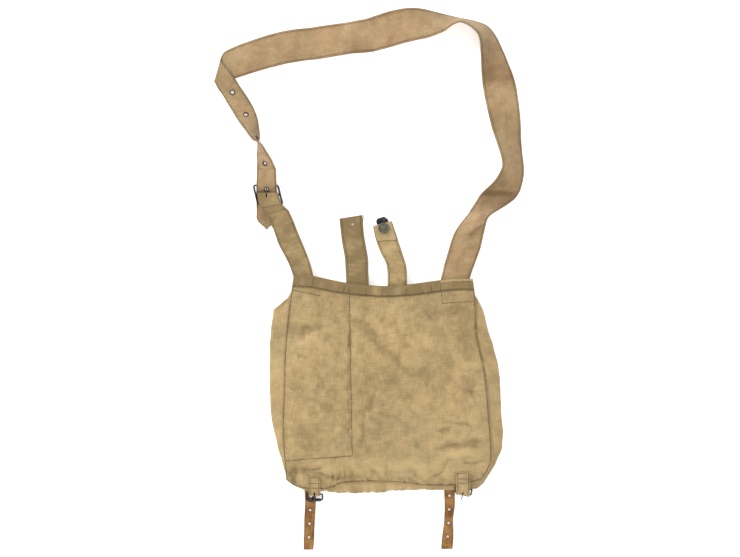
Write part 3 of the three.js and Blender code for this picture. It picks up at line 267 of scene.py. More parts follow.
NARROW_RUN = [
    (-0.568, 0.749, 254, 0, 1.12, 0, 1), (-0.498, 0.694, 217, 0, 0.97, 0, 1),
    (-0.455, 0.657, 211, 0, 1, 0, 0.4), (-0.413, 0.62, 208, 0, 1, 0, 0),
    (-0.38, 0.587, 209, 20, 1, 0, 0), (-0.349, 0.555, 217, 37, 1, 0, 0),
    (-0.329, 0.528, 223, 52, 1, 0, 0), (-0.312, 0.506, 228, 67, 1, 0, 0),
    (-0.301, 0.489, 212, 90, 1, 0, 0), (-0.287, 0.471, 198, 106, 1, 0, 0),
    (-0.277, 0.45, 192, 118, 1, 0, 0), (-0.259, 0.421, 185, 135, 1, 0, 0),
    (-0.246, 0.385, 182, 162, 1, 0, 0.8),
]
BUCKLE_STRAP_RUN = [
    (0.013, -0.042, 181, 0, 0.9, 1, 0), (0, -0.005, 184, 0, 0.9, 1, 0),
    (-0.023, 0.039, 190, 0, 0.93, 0.72, 0), (-0.062, 0.089, 200, 0, 0.98, 0.42, 0),
    (-0.102, 0.137, 203, 0, 1, 0.36, 0), (-0.134, 0.185, 202, 0, 1, 0.6, 0),
    (-0.168, 0.224, 202, 0, 1, 0.92, 0),
]
BELT_TAB_LEFT = [
    (-0.01, -0.17, 180, 0, 1, 1, 0), (0, 0, 180, 0, 1, 1, 0), (-0.01, 0.22, 180, 0, 1, 0.8, 0),
    (-0.02, 0.4, 184, 0, 1, 0.4, 0), (-0.07, 0.69, 189, 0, 1, 0.06, 0), (-0.1, 1, 189, 0, 1.02, 0, 0),
]
BELT_TAB_RIGHT = [
    (-0.01, -0.17, 180, 0, 0.97, 1, 0), (0, 0, 180, 0, 0.97, 1, 0),
    (-0.01, 0.28, 176, 0, 0.95, 0.75, 0), (-0.08, 0.47, 176, 0, 1.07, 0.35, 0),
    (-0.15, 0.67, 184, 0, 1.06, 0.12, 0), (-0.22, 0.92, 195, 0, 0.98, 0.18, 0),
]


def mix(a, b, t):
    return a + (b - a) * t


def unit(v):
    return v / np.maximum(np.linalg.norm(v, axis=-1, keepdims=True), 1e-9)


def smooth(t):
    t = np.clip(t, 0, 1)
    return t * t * (3 - 2 * t)


# Soft random fields for folds and stains
GRADIENTS = np.random.default_rng(11).normal(size=(256, 256, 2))


def field(x, y, size, layer=0):
    """Smooth random rise between about -1 and 1, with bumps of a size in millimetres."""
    px, py = x / size + 37.7 * layer + 100, y / size + 100 - 11.3 * layer
    ix, iy = np.floor(px).astype(int), np.floor(py).astype(int)
    fx, fy = px - ix, py - iy

    def corner(dx, dy):
        slope = GRADIENTS[(ix + dx) % 256, (iy + dy) % 256]
        return slope[..., 0] * (fx - dx) + slope[..., 1] * (fy - dy)

    low = mix(corner(0, 0), corner(1, 0), smooth(fx))
    high = mix(corner(0, 1), corner(1, 1), smooth(fx))
    return mix(low, high, smooth(fy))


def curve_at(table, place):
    """Value of a smooth curve through the rows of a table, at places counted in rows."""
    table, place = np.asarray(table, float), np.asarray(place, float)
    last = len(table) - 1
    index = np.clip(np.floor(place), 0, last - 1).astype(int)
    t = (place - index).reshape(place.shape + (1,) * (table.ndim - 1))
    a, b, c, d = (table[np.clip(index + k, 0, last)] for k in (-1, 0, 1, 2))
    return b + 0.5 * ((c - a) * t + (2 * a - 5 * b + 4 * c - d) * t**2 + (3 * b - a - 3 * c + d) * t**3)


def edge_at(edge, share):
    """Point of an edge table at a share of the straight line between its ends."""
    edge = np.asarray(edge, float)
    chord = edge[-1] - edge[0]
    places = (edge - edge[0]) @ chord / (chord @ chord)
    wanted = np.clip(share, 0, 1)
    after = np.clip(np.searchsorted(places, wanted), 1, len(edge) - 1)
    part = (wanted - places[after - 1]) / (places[after] - places[after - 1])
    return curve_at(edge, after - 1 + part) * (BAG_WIDTH, BAG_HEIGHT)


# Back panel
def crease_rise(x, y):
    """Folds that wander a little off their paths and run out at their ends."""
    x = x + 5 * field(x, y, 19, 41) + 2 * field(x, y, 8, 42)
    y = y + 5 * field(x, y, 19, 43) + 2 * field(x, y, 8, 44)
    rise = np.zeros_like(x)
    for path, half, height in CREASES:
        path = np.multiply(path, (BAG_WIDTH, BAG_HEIGHT))
        lengths = np.linalg.norm(np.diff(path, axis=0), axis=1)
        nearest = np.full_like(x, np.inf)
        share = np.zeros_like(x)
        passed = 0
        for start, end, length in zip(path, path[1:], lengths):
            way = (end - start) / length
            along = np.clip((x - start[0]) * way[0] + (y - start[1]) * way[1], 0, length)
            distance = np.hypot(x - start[0] - along * way[0], y - start[1] - along * way[1])
            share = np.where(distance < nearest, (passed + along) / lengths.sum(), share)
            nearest = np.minimum(nearest, distance)
            passed += length
        taper = np.sin(np.pi * mix(0.06, 0.94, share)) ** 0.6
        reach = half * BAG_WIDTH * mix(0.6, 1.1, taper)
        rise += height * BELLY_RISE * taper * np.exp(-((nearest / reach) ** 2))
    return rise


def rumple(x, y):
    """Soft folds of worn canvas: broad swells, small dents, and wrinkles in some places only."""
    bent_x, bent_y = x + 22 * field(x, y, 48, 1), y + 22 * field(x, y, 48, 2)
    creased = smooth(0.5 + 2 * field(x, y, 60, 7))
    wrinkle = 1 - np.minimum(1, np.abs(field(bent_x * 0.7, bent_y, 34, 3)) * 4)
    swell = 1.3 * field(x, y, 90, 5) + 1.1 * field(bent_x, bent_y, 36, 6)
    dents = 0.55 * field(bent_x, bent_y, 15, 8) + 0.2 * field(x, y, 7, 10)
    return swell + dents - 0.55 * creased * wrinkle**2


def back_at(u, v):
    """Middle surface of the back panel: u from left to right, v from the bottom seam to the top edge."""
    u, v = np.broadcast_arrays(np.asarray(u, float), np.asarray(v, float))
    across, up = u[..., None], v[..., None]
    sides = mix(edge_at(LEFT_EDGE, v), edge_at(RIGHT_EDGE, v), across)
    ends = mix(edge_at(BOTTOM_EDGE, u), edge_at(TOP_EDGE, u), up)
    low_corners = mix(edge_at(LEFT_EDGE, 0.0), edge_at(RIGHT_EDGE, 0.0), across)
    high_corners = mix(edge_at(LEFT_EDGE, 1.0), edge_at(RIGHT_EDGE, 1.0), across)
    flat = sides + ends - mix(low_corners, high_corners, up)
    x, y = flat[..., 0], flat[..., 1]
    low = np.minimum(v / HEM_SHARE, 1)
    edge = mix(SEAM_RISE, MOUTH_RISE, low * low)
    swell = (1 - np.abs(2 * u - 1) ** 3) * (1 - np.abs(2 * low - 1) ** 3)
    held = np.clip(3 * swell, 0, 1)
    rise = edge + swell * BELLY_RISE + held * (crease_rise(x, y) + rumple(x, y))
    return np.stack([x, y, rise], -1)


def off_back(u, v, distance):
    """Surface held off the back panel along its normal."""
    step = 0.004
    along = back_at(u + step, v) - back_at(u - step, v)
    up = back_at(u, v + step) - back_at(u, v - step)
    normal = unit(np.cross(along, up))
    return back_at(u, v) + normal * np.asarray(distance)[..., None]


def place_on_back(x, y):
    """Shares of the back panel at a point given in millimetres."""
    u, v = np.asarray(x) / BAG_WIDTH + 0.5, np.asarray(y) / BAG_HEIGHT + 0.5
    for _ in range(12):
        point = back_at(u, v)
        u, v = u + (x - point[..., 0]) / BAG_WIDTH, v + (y - point[..., 1]) / BAG_HEIGHT
    return u, v


def shares(rows, columns):
    return np.meshgrid(np.linspace(0, 1, rows), np.linspace(0, 1, columns), indexing="ij")


def run_along(path):
    """Lengths from the start of a path to each of its points."""
    return np.concatenate([[0], np.cumsum(np.linalg.norm(np.diff(path, axis=0), axis=-1))])


# Meshes
def new_object(name, vertices, faces, material, body="bag", smooth_faces=True):
    mesh = bpy.data.meshes.new(name)
    mesh.from_pydata((np.asarray(vertices) * MM).tolist(), [], faces)
    if smooth_faces:
        mesh.shade_smooth()
    mesh.update()
    made = linked(name, mesh)
    mesh.materials.append(material)
    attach(made, body)
    return made


def set_values(made, name, values):
    """Stores one number or one vector for each point of a mesh, for its material."""
    values = np.asarray(values, np.float32)
    kind = "FLOAT_VECTOR" if values.ndim == 2 else "FLOAT"
    attribute = made.data.attributes.new(name, kind, "POINT")
    attribute.data.foreach_set("vector" if kind == "FLOAT_VECTOR" else "value", values.ravel())


def normals_of(grid):
    return unit(np.cross(np.gradient(grid, axis=0), np.gradient(grid, axis=1)))


def cloth(name, grid, thickness, material, tone=None):
    """Closed sheet round a grid of middle points. Its material reads the thread directions and the tone."""
    rows, columns = grid.shape[:2]
    half = np.broadcast_to(np.asarray(thickness, float) / 2, grid.shape[:2])[..., None]
    normal = normals_of(grid)
    points = np.concatenate([(grid + normal * half).reshape(-1, 3), (grid - normal * half).reshape(-1, 3)])
    index = np.arange(rows * columns).reshape(rows, columns)
    a, b, c, d = index[:-1, :-1], index[1:, :-1], index[1:, 1:], index[:-1, 1:]
    top = np.stack([a, b, c, d], -1).reshape(-1, 4)
    under = top[:, ::-1] + rows * columns
    rim = np.concatenate([index[:, 0], index[-1, 1:], index[-2::-1, -1], index[0, -2:0:-1]])
    after = np.roll(rim, -1)
    sides = np.stack([after, rim, rim + rows * columns, after + rows * columns], -1)
    faces = np.concatenate([top, under, sides])
    made = new_object(name, points, faces.tolist(), material)
    along, across = run_along(grid[:, columns // 2]), run_along(grid[rows // 2])
    threads = np.stack([*np.meshgrid(along, across, indexing="ij"), np.zeros((rows, columns))], -1)
    set_values(made, "threads", np.tile(threads.reshape(-1, 3) * MM, (2, 1)))
    tone = np.zeros((rows, columns)) if tone is None else tone
    set_values(made, "tone", np.tile(tone.ravel(), 2))
    return made


def rounded_path(corners, radius, steps=5):
    """Closed path through corners that are rounded to about a radius."""
    path = []
    count = len(corners)
    for i, corner in enumerate(corners):
        before, after = corners[i - 1] - corner, corners[(i + 1) % count] - corner
        start = corner + unit(before) * radius
        end = corner + unit(after) * radius
        for t in np.linspace(0, 1, steps):
            path.append(mix(mix(start, corner, t), mix(corner, end, t), t))
    return np.array(path)


def circle(side, other, count):
    """Points of a unit circle in the plane of two directions."""
    angles = np.linspace(0, 2 * np.pi, count, endpoint=False)
    return np.outer(np.cos(angles), side) + np.outer(np.sin(angles), other)


def ring_faces(rings, sides, closed=False):
    """Faces from ring to ring, and one over each end unless the last ring meets the first."""
    faces = []
    for i in range(rings if closed else rings - 1):
        j = (i + 1) % rings
        for k in range(sides):
            m = (k + 1) % sides
            faces.append((i * sides + k, i * sides + m, j * sides + m, j * sides + k))
    if not closed:
        faces.append(tuple(range(sides - 1, -1, -1)))
        faces.append(tuple(range((rings - 1) * sides, rings * sides)))
    return faces


def tube_parts(path, radii, closed=False, sides=12):
    """Points and faces of a round wire along a path."""
    path = np.asarray(path, float)
    ahead = np.roll(path, -1, 0) - np.roll(path, 1, 0)
    if not closed:
        ahead[0], ahead[-1] = path[1] - path[0], path[-1] - path[-2]
    ahead = unit(ahead)
    side = unit(np.cross(ahead[0], (0.31, 0.52, 0.8)))
    rings = []
    for point, way, radius in zip(path, ahead, np.broadcast_to(radii, len(path))):
        side = unit(side - way * (side @ way))
        rings.append(point + radius * circle(side, np.cross(way, side), sides))
    return np.concatenate(rings), ring_faces(len(path), sides, closed)


def joined_parts(parts):
    points, faces, start = [], [], 0
    for more_points, more_faces in parts:
        points.append(more_points)
        faces += [tuple(k + start for k in face) for face in more_faces]
        start += len(more_points)
    return np.concatenate(points), faces


def turned_parts(profile, centre, direction, sides=36):
    """Points and faces of a closed profile of radius and height turned round a direction."""
    direction = unit(np.asarray(direction, float))
    side = unit(np.cross(direction, (0.3, 0.9, 0.2)))
    around = circle(side, np.cross(direction, side), sides)
    points = [np.asarray(centre) + radius * around + height * direction for radius, height in profile]
    return np.concatenate(points), ring_faces(len(profile), sides, closed=True)


def cut_out(made, shape, solver):
    """Takes a closed shape away from a piece."""
    mesh = bpy.data.meshes.new("punch")
    shape.to_mesh(mesh)
    shape.free()
    punch = linked("punch", mesh)
    holes_cut = made.modifiers.new("holes", "BOOLEAN")
    holes_cut.object = punch
    holes_cut.solver = solver
    whole = made.evaluated_get(bpy.context.evaluated_depsgraph_get())
    cut = bpy.data.meshes.new_from_object(whole)
    made.modifiers.clear()
    made.data = cut
    bpy.data.objects.remove(punch)


def cut_holes(made, holes, diameter, depth):
    """Punches round holes through a piece. Each hole is a point and a direction."""
    shape = bmesh.new()
    for point, direction in holes:
        turn = Vector(direction).to_track_quat("Z", "Y").to_matrix().to_4x4()
        bmesh.ops.create_cone(
            shape,
            cap_ends=True,
            segments=20,
            radius1=diameter / 2 * MM,
            radius2=diameter / 2 * MM,
            depth=depth * MM,
            matrix=Matrix.Translation(Vector(point) * MM) @ turn,
        )
    cut_out(made, shape, "EXACT")


def cut_slot(made, middle, size, turn=0, shift=0):
    """Slot that a buckle's tongue passes through. The exact solver fails on cloth folded round a bar."""
    shape = bmesh.new()
    place = Matrix.Translation(Vector(middle) * MM) @ Matrix.Rotation(-turn, 4, "Z")
    box = Matrix.Translation((0, shift * MM, 0)) @ Matrix.Diagonal((*(k * MM for k in size), 1))
    bmesh.ops.create_cube(shape, size=1, matrix=place @ box)
    cut_out(made, shape, "FAST")


# Materials
WEAVE_PITCH = 0.9
OLD_STAIN = (0.3, 0.265, 0.145)


class Paint:
    """Builds one procedural material."""

    def __init__(self, name):
        self.material = bpy.data.materials.new(name)
        self.material.use_nodes = True
        self.nodes = self.material.node_tree.nodes
        self.shader = self.nodes["Principled BSDF"]

    def put(self, node, inputs):
        """Gives a node its inputs, each a plain value or another node's output."""
        for name, value in inputs.items():
            if isinstance(value, bpy.types.NodeSocket):
                self.material.node_tree.links.new(value, node.inputs[name])
            else:
                node.inputs[name].default_value = value
        return node

    def surface(self, **inputs):
        """Sets inputs of the shader, with _ for each space in their names."""
        self.put(self.shader, {name.replace("_", " "): value for name, value in inputs.items()})

    def value(self, name, output="Fac"):
        node = self.nodes.new("ShaderNodeAttribute")
        node.attribute_name = name
        return node.outputs[output]

    def place(self):
        return self.nodes.new("ShaderNodeTexCoord").outputs["Object"]

    def scaled(self, vector, scale):
        node = self.nodes.new("ShaderNodeMapping")
        return self.put(node, {"Vector": vector, "Scale": scale}).outputs["Vector"]

    def noise(self, vector, scale, detail=3, rough=0.55):
        node = self.nodes.new("ShaderNodeTexNoise")
        inputs = {"Vector": vector, "Scale": scale, "Detail": detail, "Roughness": rough}
        return self.put(node, inputs).outputs["Fac"]

    def cells(self, vector, scale):
        node = self.nodes.new("ShaderNodeTexVoronoi")
        node.feature = "DISTANCE_TO_EDGE"
        return self.put(node, {"Vector": vector, "Scale": scale}).outputs["Distance"]

    def math(self, operation, a, b=0.0):
        node = self.nodes.new("ShaderNodeMath")
        node.operation = operation
        return self.put(node, {0: a, 1: b}).outputs[0]

    def span(self, value, low, high, to_low=0.0, to_high=1.0):
        """Value from one span carried to another, and held at its ends."""
        node = self.nodes.new("ShaderNodeMapRange")
        ends = {"From Min": low, "From Max": high, "To Min": to_low, "To Max": to_high}
        return self.put(node, {"Value": value, **ends}).outputs["Result"]

    def blend(self, share, a, b, kind="MIX"):
        node = self.nodes.new("ShaderNodeMix")
        node.data_type = "RGBA"
        node.blend_type = kind
        colours = [(*c, 1) if isinstance(c, tuple) else c for c in (a, b)]
        return self.put(node, {"Factor": share, 6: colours[0], 7: colours[1]}).outputs[2]

    def split(self, vector):
        return self.put(self.nodes.new("ShaderNodeSeparateXYZ"), {0: vector}).outputs

    def bump(self, height, distance, strength):
        node = self.nodes.new("ShaderNodeBump")
        self.put(node, {"Strength": strength, "Distance": distance, "Height": height})
        self.surface(Normal=node.outputs["Normal"])


def canvas_paint(name, base, light, dark, warm=(0.5, 0.33, 0.155)):
    """Plain weave with uneven threads, faded and dirty areas, and the tone that a piece stores, which
    carries its stains and its painted shade and highlights.
    """
    paint = Paint(name)
    threads = paint.value("threads", "Vector")
    turn = 2 * math.pi / (WEAVE_PITCH * MM)
    warp, weft = (paint.math("SINE", paint.math("MULTIPLY", way, turn)) for way in paint.split(threads)[:2])
    knot = paint.math("MULTIPLY", warp, weft)
    slub_along = paint.noise(paint.scaled(threads, (60, 850, 1)), 1)
    slub_across = paint.noise(paint.scaled(threads, (900, 70, 1)), 1)
    slubs = paint.math("ADD", slub_along, slub_across)
    place = paint.place()
    colour = paint.blend(paint.span(paint.noise(place, 14, 5, 0.65), 0.36, 0.66), base, light)
    # blotches: size, detail and roughness, span, strength at its two ends, colour
    for scale, detail, rough, low, high, at_low, at_high, tint in (
        (30, 5, 0.7, 0.48, 0.72, 0, 0.6, dark),
        (85, 4, 0.7, 0.42, 0.62, 0.3, 0, dark),
        (70, 4, 0.7, 0.5, 0.7, 0, 0.4, light),
        (6, 4, 0.6, 0.5, 0.66, 0, 0.32, OLD_STAIN),
        (17, 4, 0.6, 0.5, 0.68, 0, 0.45, warm),
    ):
        share = paint.span(paint.noise(place, scale, detail, rough), low, high, at_low, at_high)
        colour = paint.blend(share, colour, tint)
    tone = paint.value("tone")
    for value, low, high, strength, tint in (
        (slubs, 0.9, 1.2, 0.3, dark),
        (slubs, 1.0, 0.78, 0.24, light),
        # stored tone: stains and painted shade towards dark, painted highlights towards light
        (tone, 0, -1, 0.85, dark),
        (tone, 0, 1, 0.7, light),
    ):
        colour = paint.blend(paint.span(value, low, high, 0, strength), colour, tint)
    # painted shade between the threads of the weave
    colour = paint.blend(1.0, colour, paint.span(knot, -1, 1, 0.9, 1.06), "MULTIPLY")
    paint.surface(Base_Color=colour, Roughness=paint.span(slubs, 0.7, 1.3, 0.84, 0.97))
    paint.surface(Sheen_Weight=0.12, Sheen_Roughness=0.6, Specular_IOR_Level=0.15)
    paint.bump(paint.math("ADD", paint.math("MULTIPLY", knot, 0.35), slubs), 0.00045, 0.75)
    return paint.material


def leather_paint(name):
    """Dry worn strap leather: fine cracks, rubbed middle, darker sides, and painted shade round the holes.
    """
    paint = Paint(name)
    place = paint.place()
    worn = paint.span(paint.noise(place, 55, 5, 0.65), 0.35, 0.7)
    colour = paint.blend(worn, (0.14, 0.06, 0.016), (0.45, 0.225, 0.07))
    streak = paint.noise(paint.scaled(paint.value("threads", "Vector"), (40, 420, 1)), 1, 4, 0.6)
    colour = paint.blend(paint.span(streak, 0.45, 0.75, 0, 0.5), colour, (0.46, 0.27, 0.1))
    colour = paint.blend(paint.span(paint.value("tone"), 0, -1, 0, 0.85), colour, (0.05, 0.025, 0.011))
    cracks = paint.span(paint.cells(place, 620), 0, 0.12, 1, 0)
    colour = paint.blend(paint.math("MULTIPLY", cracks, 0.35), colour, (0.11, 0.06, 0.03))
    paint.surface(Base_Color=colour, Roughness=paint.span(worn, 0, 1, 0.5, 0.75), Specular_IOR_Level=0.15)
    grain = paint.math("SUBTRACT", paint.noise(place, 900), paint.math("MULTIPLY", cracks, 0.6))
    paint.bump(grain, 0.0003, 0.7)
    return paint.material


def steel_paint(name, base, worn, rust_share, roughness=0.42):
    """Old steel: dark skin, rubbed spots and rust."""
    paint = Paint(name)
    place = paint.place()
    colour = paint.blend(paint.span(paint.noise(place, 240, 4, 0.6), 0.45, 0.65), base, worn)
    rust = paint.span(paint.noise(place, 420, 5, 0.7), 0.62 - 0.25 * rust_share, 0.72)
    colour = paint.blend(rust, colour, (0.19, 0.075, 0.03))
    paint.surface(Base_Color=colour, Metallic=paint.span(rust, 0, 1, 0.85, 0.1))
    paint.surface(Roughness=paint.span(rust, 0, 1, roughness, 0.9))
    paint.bump(paint.noise(place, 1400, 4, 0.6), 0.00012, 0.6)
    return paint.material


def thread_paint(name, dark, pale):
    """Twisted sewing thread, darker or paler from stitch to stitch."""
    paint = Paint(name)
    paint.surface(Base_Color=paint.blend(paint.value("shade"), dark, pale), Roughness=0.85)
    paint.bump(paint.noise(paint.place(), 2600, 2), 0.0001, 0.6)
    return paint.material


canvas = canvas_paint("canvas", (0.355, 0.253, 0.116), (0.55, 0.395, 0.188), (0.19, 0.131, 0.057))
strap_canvas = canvas_paint(
    "strap_canvas", (0.36, 0.238, 0.113), (0.475, 0.33, 0.178), (0.2, 0.123, 0.056), (0.44, 0.255, 0.125)
)
pale_canvas = canvas_paint("pale_canvas", (0.43, 0.315, 0.15), (0.53, 0.41, 0.22), (0.27, 0.19, 0.085))
leather = leather_paint("leather")
dark_steel = steel_paint("dark_steel", (0.018, 0.018, 0.022), (0.07, 0.07, 0.08), 0.25)
dull_steel = steel_paint("dull_steel", (0.045, 0.035, 0.03), (0.14, 0.12, 0.1), 0.6)
button_metal = steel_paint("button_metal", (0.1, 0.105, 0.075), (0.19, 0.19, 0.14), 0.2, 0.6)
seam_thread = thread_paint("seam_thread", (0.05, 0.033, 0.015), (0.42, 0.33, 0.19))
strap_thread = thread_paint("strap_thread", (0.11, 0.065, 0.03), (0.4, 0.27, 0.15))

# Stitches
STITCH = 3
STITCH_PITCH = STITCH + 0.25
THREAD = 0.85
STITCH_SIDES = 6
# place along a stitch, thickness and rise, in shares of its length and its thread
STITCH_RINGS = ((-0.5, 0.6, -0.3), (-0.25, 0.95, 0), (0, 1, 0.05), (0.25, 0.95, 0), (0.5, 0.6, -0.3))


def stitches(name, lines, material):
    """Rows of stitches along lines. Each line is its points and the way out of the cloth there."""
    rng = np.random.default_rng(len(name) * 31 + 5)
    faces = ring_faces(len(STITCH_RINGS), STITCH_SIDES)
    parts, shade = [], []
    for path, out in lines:
        run = run_along(path)
        for start in np.arange(STITCH_PITCH / 2, run[-1], STITCH_PITCH):
            centre, ahead, behind, up = (
                np.array([np.interp(at, run, rows[:, k]) for k in range(3)])
                for at, rows in ((start, path), (start + 0.8, path), (start - 0.8, path), (start, out))
            )
            way, up = unit(ahead - behind), unit(up)
            if centre[2] - abs(way[2]) * STITCH / 2 < THREAD:
                continue
            side = unit(np.cross(way, up))
            way = unit(way + side * rng.normal(0, 0.05))
            length = STITCH * rng.uniform(0.88, 1.06)
            around = circle(side, up, STITCH_SIDES)
            rings = [
                centre + way * along * length + up * rise * THREAD + around * thick * THREAD / 2
                for along, thick, rise in STITCH_RINGS
            ]
            parts.append((np.concatenate(rings), faces))
            shade += [rng.beta(0.8, 6)] * (len(STITCH_RINGS) * STITCH_SIDES)
    made = new_object(name, *joined_parts(parts), material)
    set_values(made, "shade", shade)


def back_line(us, vs, lift):
    """Stitch line on the back panel."""
    inner, outer = off_back(us, vs, lift), off_back(us, vs, lift + 1)
    return inner, outer - inner


# Back panel, its hem, the pocket behind it and the front panel
SEAM_INSET = 2.6
u, v = (mix(share, smooth(share), 0.4) for share in shares(205, 225))
back_grid = back_at(u, v)
flat_x, flat_y = back_grid[..., 0], back_grid[..., 1]
edge_distance = np.minimum(np.minimum(u, 1 - u) * BAG_WIDTH, v * BAG_HEIGHT)
gathered = np.clip(0.35 + 1.4 * field(flat_x, flat_y, 30, 13), 0, 1) * np.where(v < 0.05, 1.6, 0.6)
pucker_phase = (flat_x + flat_y) / 2.3 + 5 * field(flat_x, flat_y, 13, 9)
pucker = 0.4 * gathered * np.exp(-((edge_distance - 6) ** 2) / 40) * np.sin(pucker_phase)
back_grid = back_grid + normals_of(back_grid) * pucker[..., None]


RELIEF_STEPS = 40
RELIEF_GAIN = 0.6


def relief_shade_and_wear(grid):
    """Painted shade in hollows and painted highlights on ridges, partly dirt in the hollows and wear on the
    ridges: the rise against its surroundings.
    """
    rise = grid[..., 2]
    around = rise.copy()
    for _ in range(RELIEF_STEPS):
        padded = np.pad(around, 1, mode="edge")
        around = (padded[:-2, 1:-1] + padded[2:, 1:-1] + padded[1:-1, :-2] + padded[1:-1, 2:]) / 4
    return np.clip((rise - around) * RELIEF_GAIN, -1, 1)


def stains_shade_and_highlights(x, y):
    """Stains and faded spots, and painted shade and highlights of folds, the curled corner and a slit, with
    ragged outlines.
    """
    x = x + 9 * field(x, y, 15, 51) + 4 * field(x, y, 6, 52)
    y = y + 9 * field(x, y, 15, 53) + 4 * field(x, y, 6, 54)
    tone = 0.3 * field(x, y, 26, 55) + 0.2 * field(x, y, 9, 56)
    for middle_x, middle_y, half_x, half_y, turn, strength in STAINS_SHADE_AND_HIGHLIGHTS:
        turn = math.radians(turn)
        across = (x - middle_x) * math.cos(turn) + (y - middle_y) * math.sin(turn)
        up = (y - middle_y) * math.cos(turn) - (x - middle_x) * math.sin(turn)
        tone += 0.8 * strength * np.exp(-((across / half_x) ** 2) - (up / half_y) ** 2)
    return tone


# painted shade along the seam groove and towards the panel's edge
seam_edge_shade = -0.2 * np.exp(-edge_distance / 5) - 0.35 * np.exp(-(((edge_distance - SEAM_INSET) / 1.3) ** 2))
hem_shade = -0.3 * np.exp(-np.abs(v - HEM_SHARE) * BAG_HEIGHT / 1.5)
back_tone = relief_shade_and_wear(back_grid) + stains_shade_and_highlights(flat_x, flat_y) + seam_edge_shade + hem_shade
back_cloth = cloth("back_cloth", back_grid, CANVAS, canvas, np.clip(back_tone, -1, 1))
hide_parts("back_panel")

STRAP_PATCH = 0.82
u, v = shares(220, 18)
hem_grid = off_back(u, mix(HEM_SHARE, 1 - GAP / BAG_HEIGHT, v), CANVAS + SLACK)
hem_wave = 0.5 * field(hem_grid[..., 0], hem_grid[..., 1] / 3, 9, 12) * np.sin(np.pi * v)
hem_grid = hem_grid + normals_of(hem_grid) * hem_wave[..., None]
# random stain, plus painted light and shade: the hem's waves are paler where they rise and darker where they
# sink
hem_stain_and_wave_light = 0.6 * field(hem_grid[..., 0], hem_grid[..., 1] / 2, 11, 14) + 1.2 * hem_wave
# painted shadow along the hem's top rim where the tabs pass behind it; darker at its lower edge
hem_tone = hem_stain_and_wave_light - 1 - 0.3 * (v < 0.05) - 0.3 * (v > 0.95) + 1.4 * (u > STRAP_PATCH) * (v > 0.7)
hem_cloth = cloth("hem_cloth", hem_grid, CANVAS, canvas, np.clip(hem_tone, -1, 1))
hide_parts("top_hem")

POCKET = {"left": 0.03, "right": 0.325, "bottom": 0.1, "top": 0.86}
u, v = shares(40, 70)
slack = (1 - np.abs(2 * u - 1) ** 4) * np.minimum(1, 4 * v)
pocket_grid = off_back(
    mix(POCKET["left"], POCKET["right"], u),
    mix(POCKET["bottom"], POCKET["top"], v),
    -CANVAS - 2 * SLACK - slack * POCKET_DEPTH,
)
pocket_cloth = cloth("pocket_cloth", pocket_grid, CANVAS, canvas)
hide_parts("inner_pocket")

FRONT_SHARE = 1 - FRONT_DROP / BAG_HEIGHT
u, v = shares(60, 60)
front_grid = back_at(u, v * FRONT_SHARE)
front_grid[..., 2] = FRONT_RISE
front_cloth = cloth("front_cloth", front_grid, CANVAS, canvas)
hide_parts("front_panel")

# Gusset: from the lip under the back panel, out to the wing and in to the lip over the front panel
TOP_SHARE = 1 - (HEM_HEIGHT + SEAM_ALLOWANCE) / BAG_HEIGHT


def way_round(share, inset):
    """Place on a panel round its sides and bottom, held in from its edge."""
    u_in, v_in = inset / BAG_WIDTH, inset / BAG_HEIGHT
    corners = (0, 1 / 3, 2 / 3, 1)
    u = np.interp(share, corners, (u_in, u_in, 1 - u_in, 1 - u_in))
    return u, np.interp(share, corners, (TOP_SHARE, v_in, v_in, TOP_SHARE))


def wing_at(share):
    around, x, y = np.transpose(WING_EDGE)
    return np.stack([np.interp(share, around, x) * BAG_WIDTH, np.interp(share, around, y) * BAG_HEIGHT], -1)


def gusset_grid(rows, columns):
    share = np.linspace(0, 1, rows)
    wing = wing_at(mix(WING_EDGE[0][0], WING_EDGE[-1][0], share))
    upper_in = off_back(*way_round(share, SEAM_ALLOWANCE), -CANVAS - 2 * SLACK)
    upper_edge = off_back(*way_round(share, GAP), -CANVAS - SLACK)
    outward = wing - upper_edge[:, :2]
    reach = np.maximum(np.linalg.norm(outward, axis=1), CANVAS)[:, None]
    outward = unit(outward)

    def station(part, rise):
        flat = upper_edge[:, :2] + outward * reach * part
        return np.column_stack([flat, np.broadcast_to(rise, rows)])

    stations = np.stack(
        [
            upper_in,
            upper_edge,
            station(0.55, mix(upper_edge[:, 2], WING_RISE, 0.45)),
            station(0.93, WING_RISE + CANVAS),
            station(0.93, WING_RISE - CANVAS),
            station(0.5, mix(LIP_RISE, WING_RISE, 0.35)),
            station(0, LIP_RISE),
            np.column_stack([upper_in[:, :2], np.full(rows, LIP_RISE)]),
        ]
    )
    return np.swapaxes(curve_at(stations, np.linspace(0, 7, columns)), 0, 1)


GUSSET_LENGTH = 900
GUSSET_ROUND = 40
around, over = np.linspace(0, 1, 420)[:, None], np.linspace(0, 1, 30)
gusset = gusset_grid(around.size, over.size)
along_bottom = smooth(1.5 - 6 * np.abs(around - 0.45))
ripple = field(GUSSET_LENGTH * around, GUSSET_ROUND * over, 16, 21)
ripple = ripple + 1.5 * along_bottom * field(GUSSET_LENGTH * around, 0, 7, 22)
ripple = ripple * np.sin(np.pi * over) ** 2
gusset = gusset + normals_of(gusset) * (0.9 * ripple)[..., None]
# painted light and shade: ripples paler where they rise and darker where they sink, and the bottom painted
# paler where it faces away from the lights
gusset_ripple_and_bottom_light = np.clip(0.7 * ripple + 0.15 + 0.5 * along_bottom, -1, 1)
gusset_cloth = cloth("gusset_cloth", gusset, CANVAS, canvas, gusset_ripple_and_bottom_light)
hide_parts("gusset")

# Flap: from under the hem round the mouth, then flat below the bag
FLAP_TOP_RISE = FOOT_RISE - WEBBING / 2 - GAP - FLAP_CLOTH / 2
FLAP_CURL = (FLAP_TOP_RISE - FLAP_RISE) / 2
CURL_START = 2 / 15
CURL_END = 8 / 15


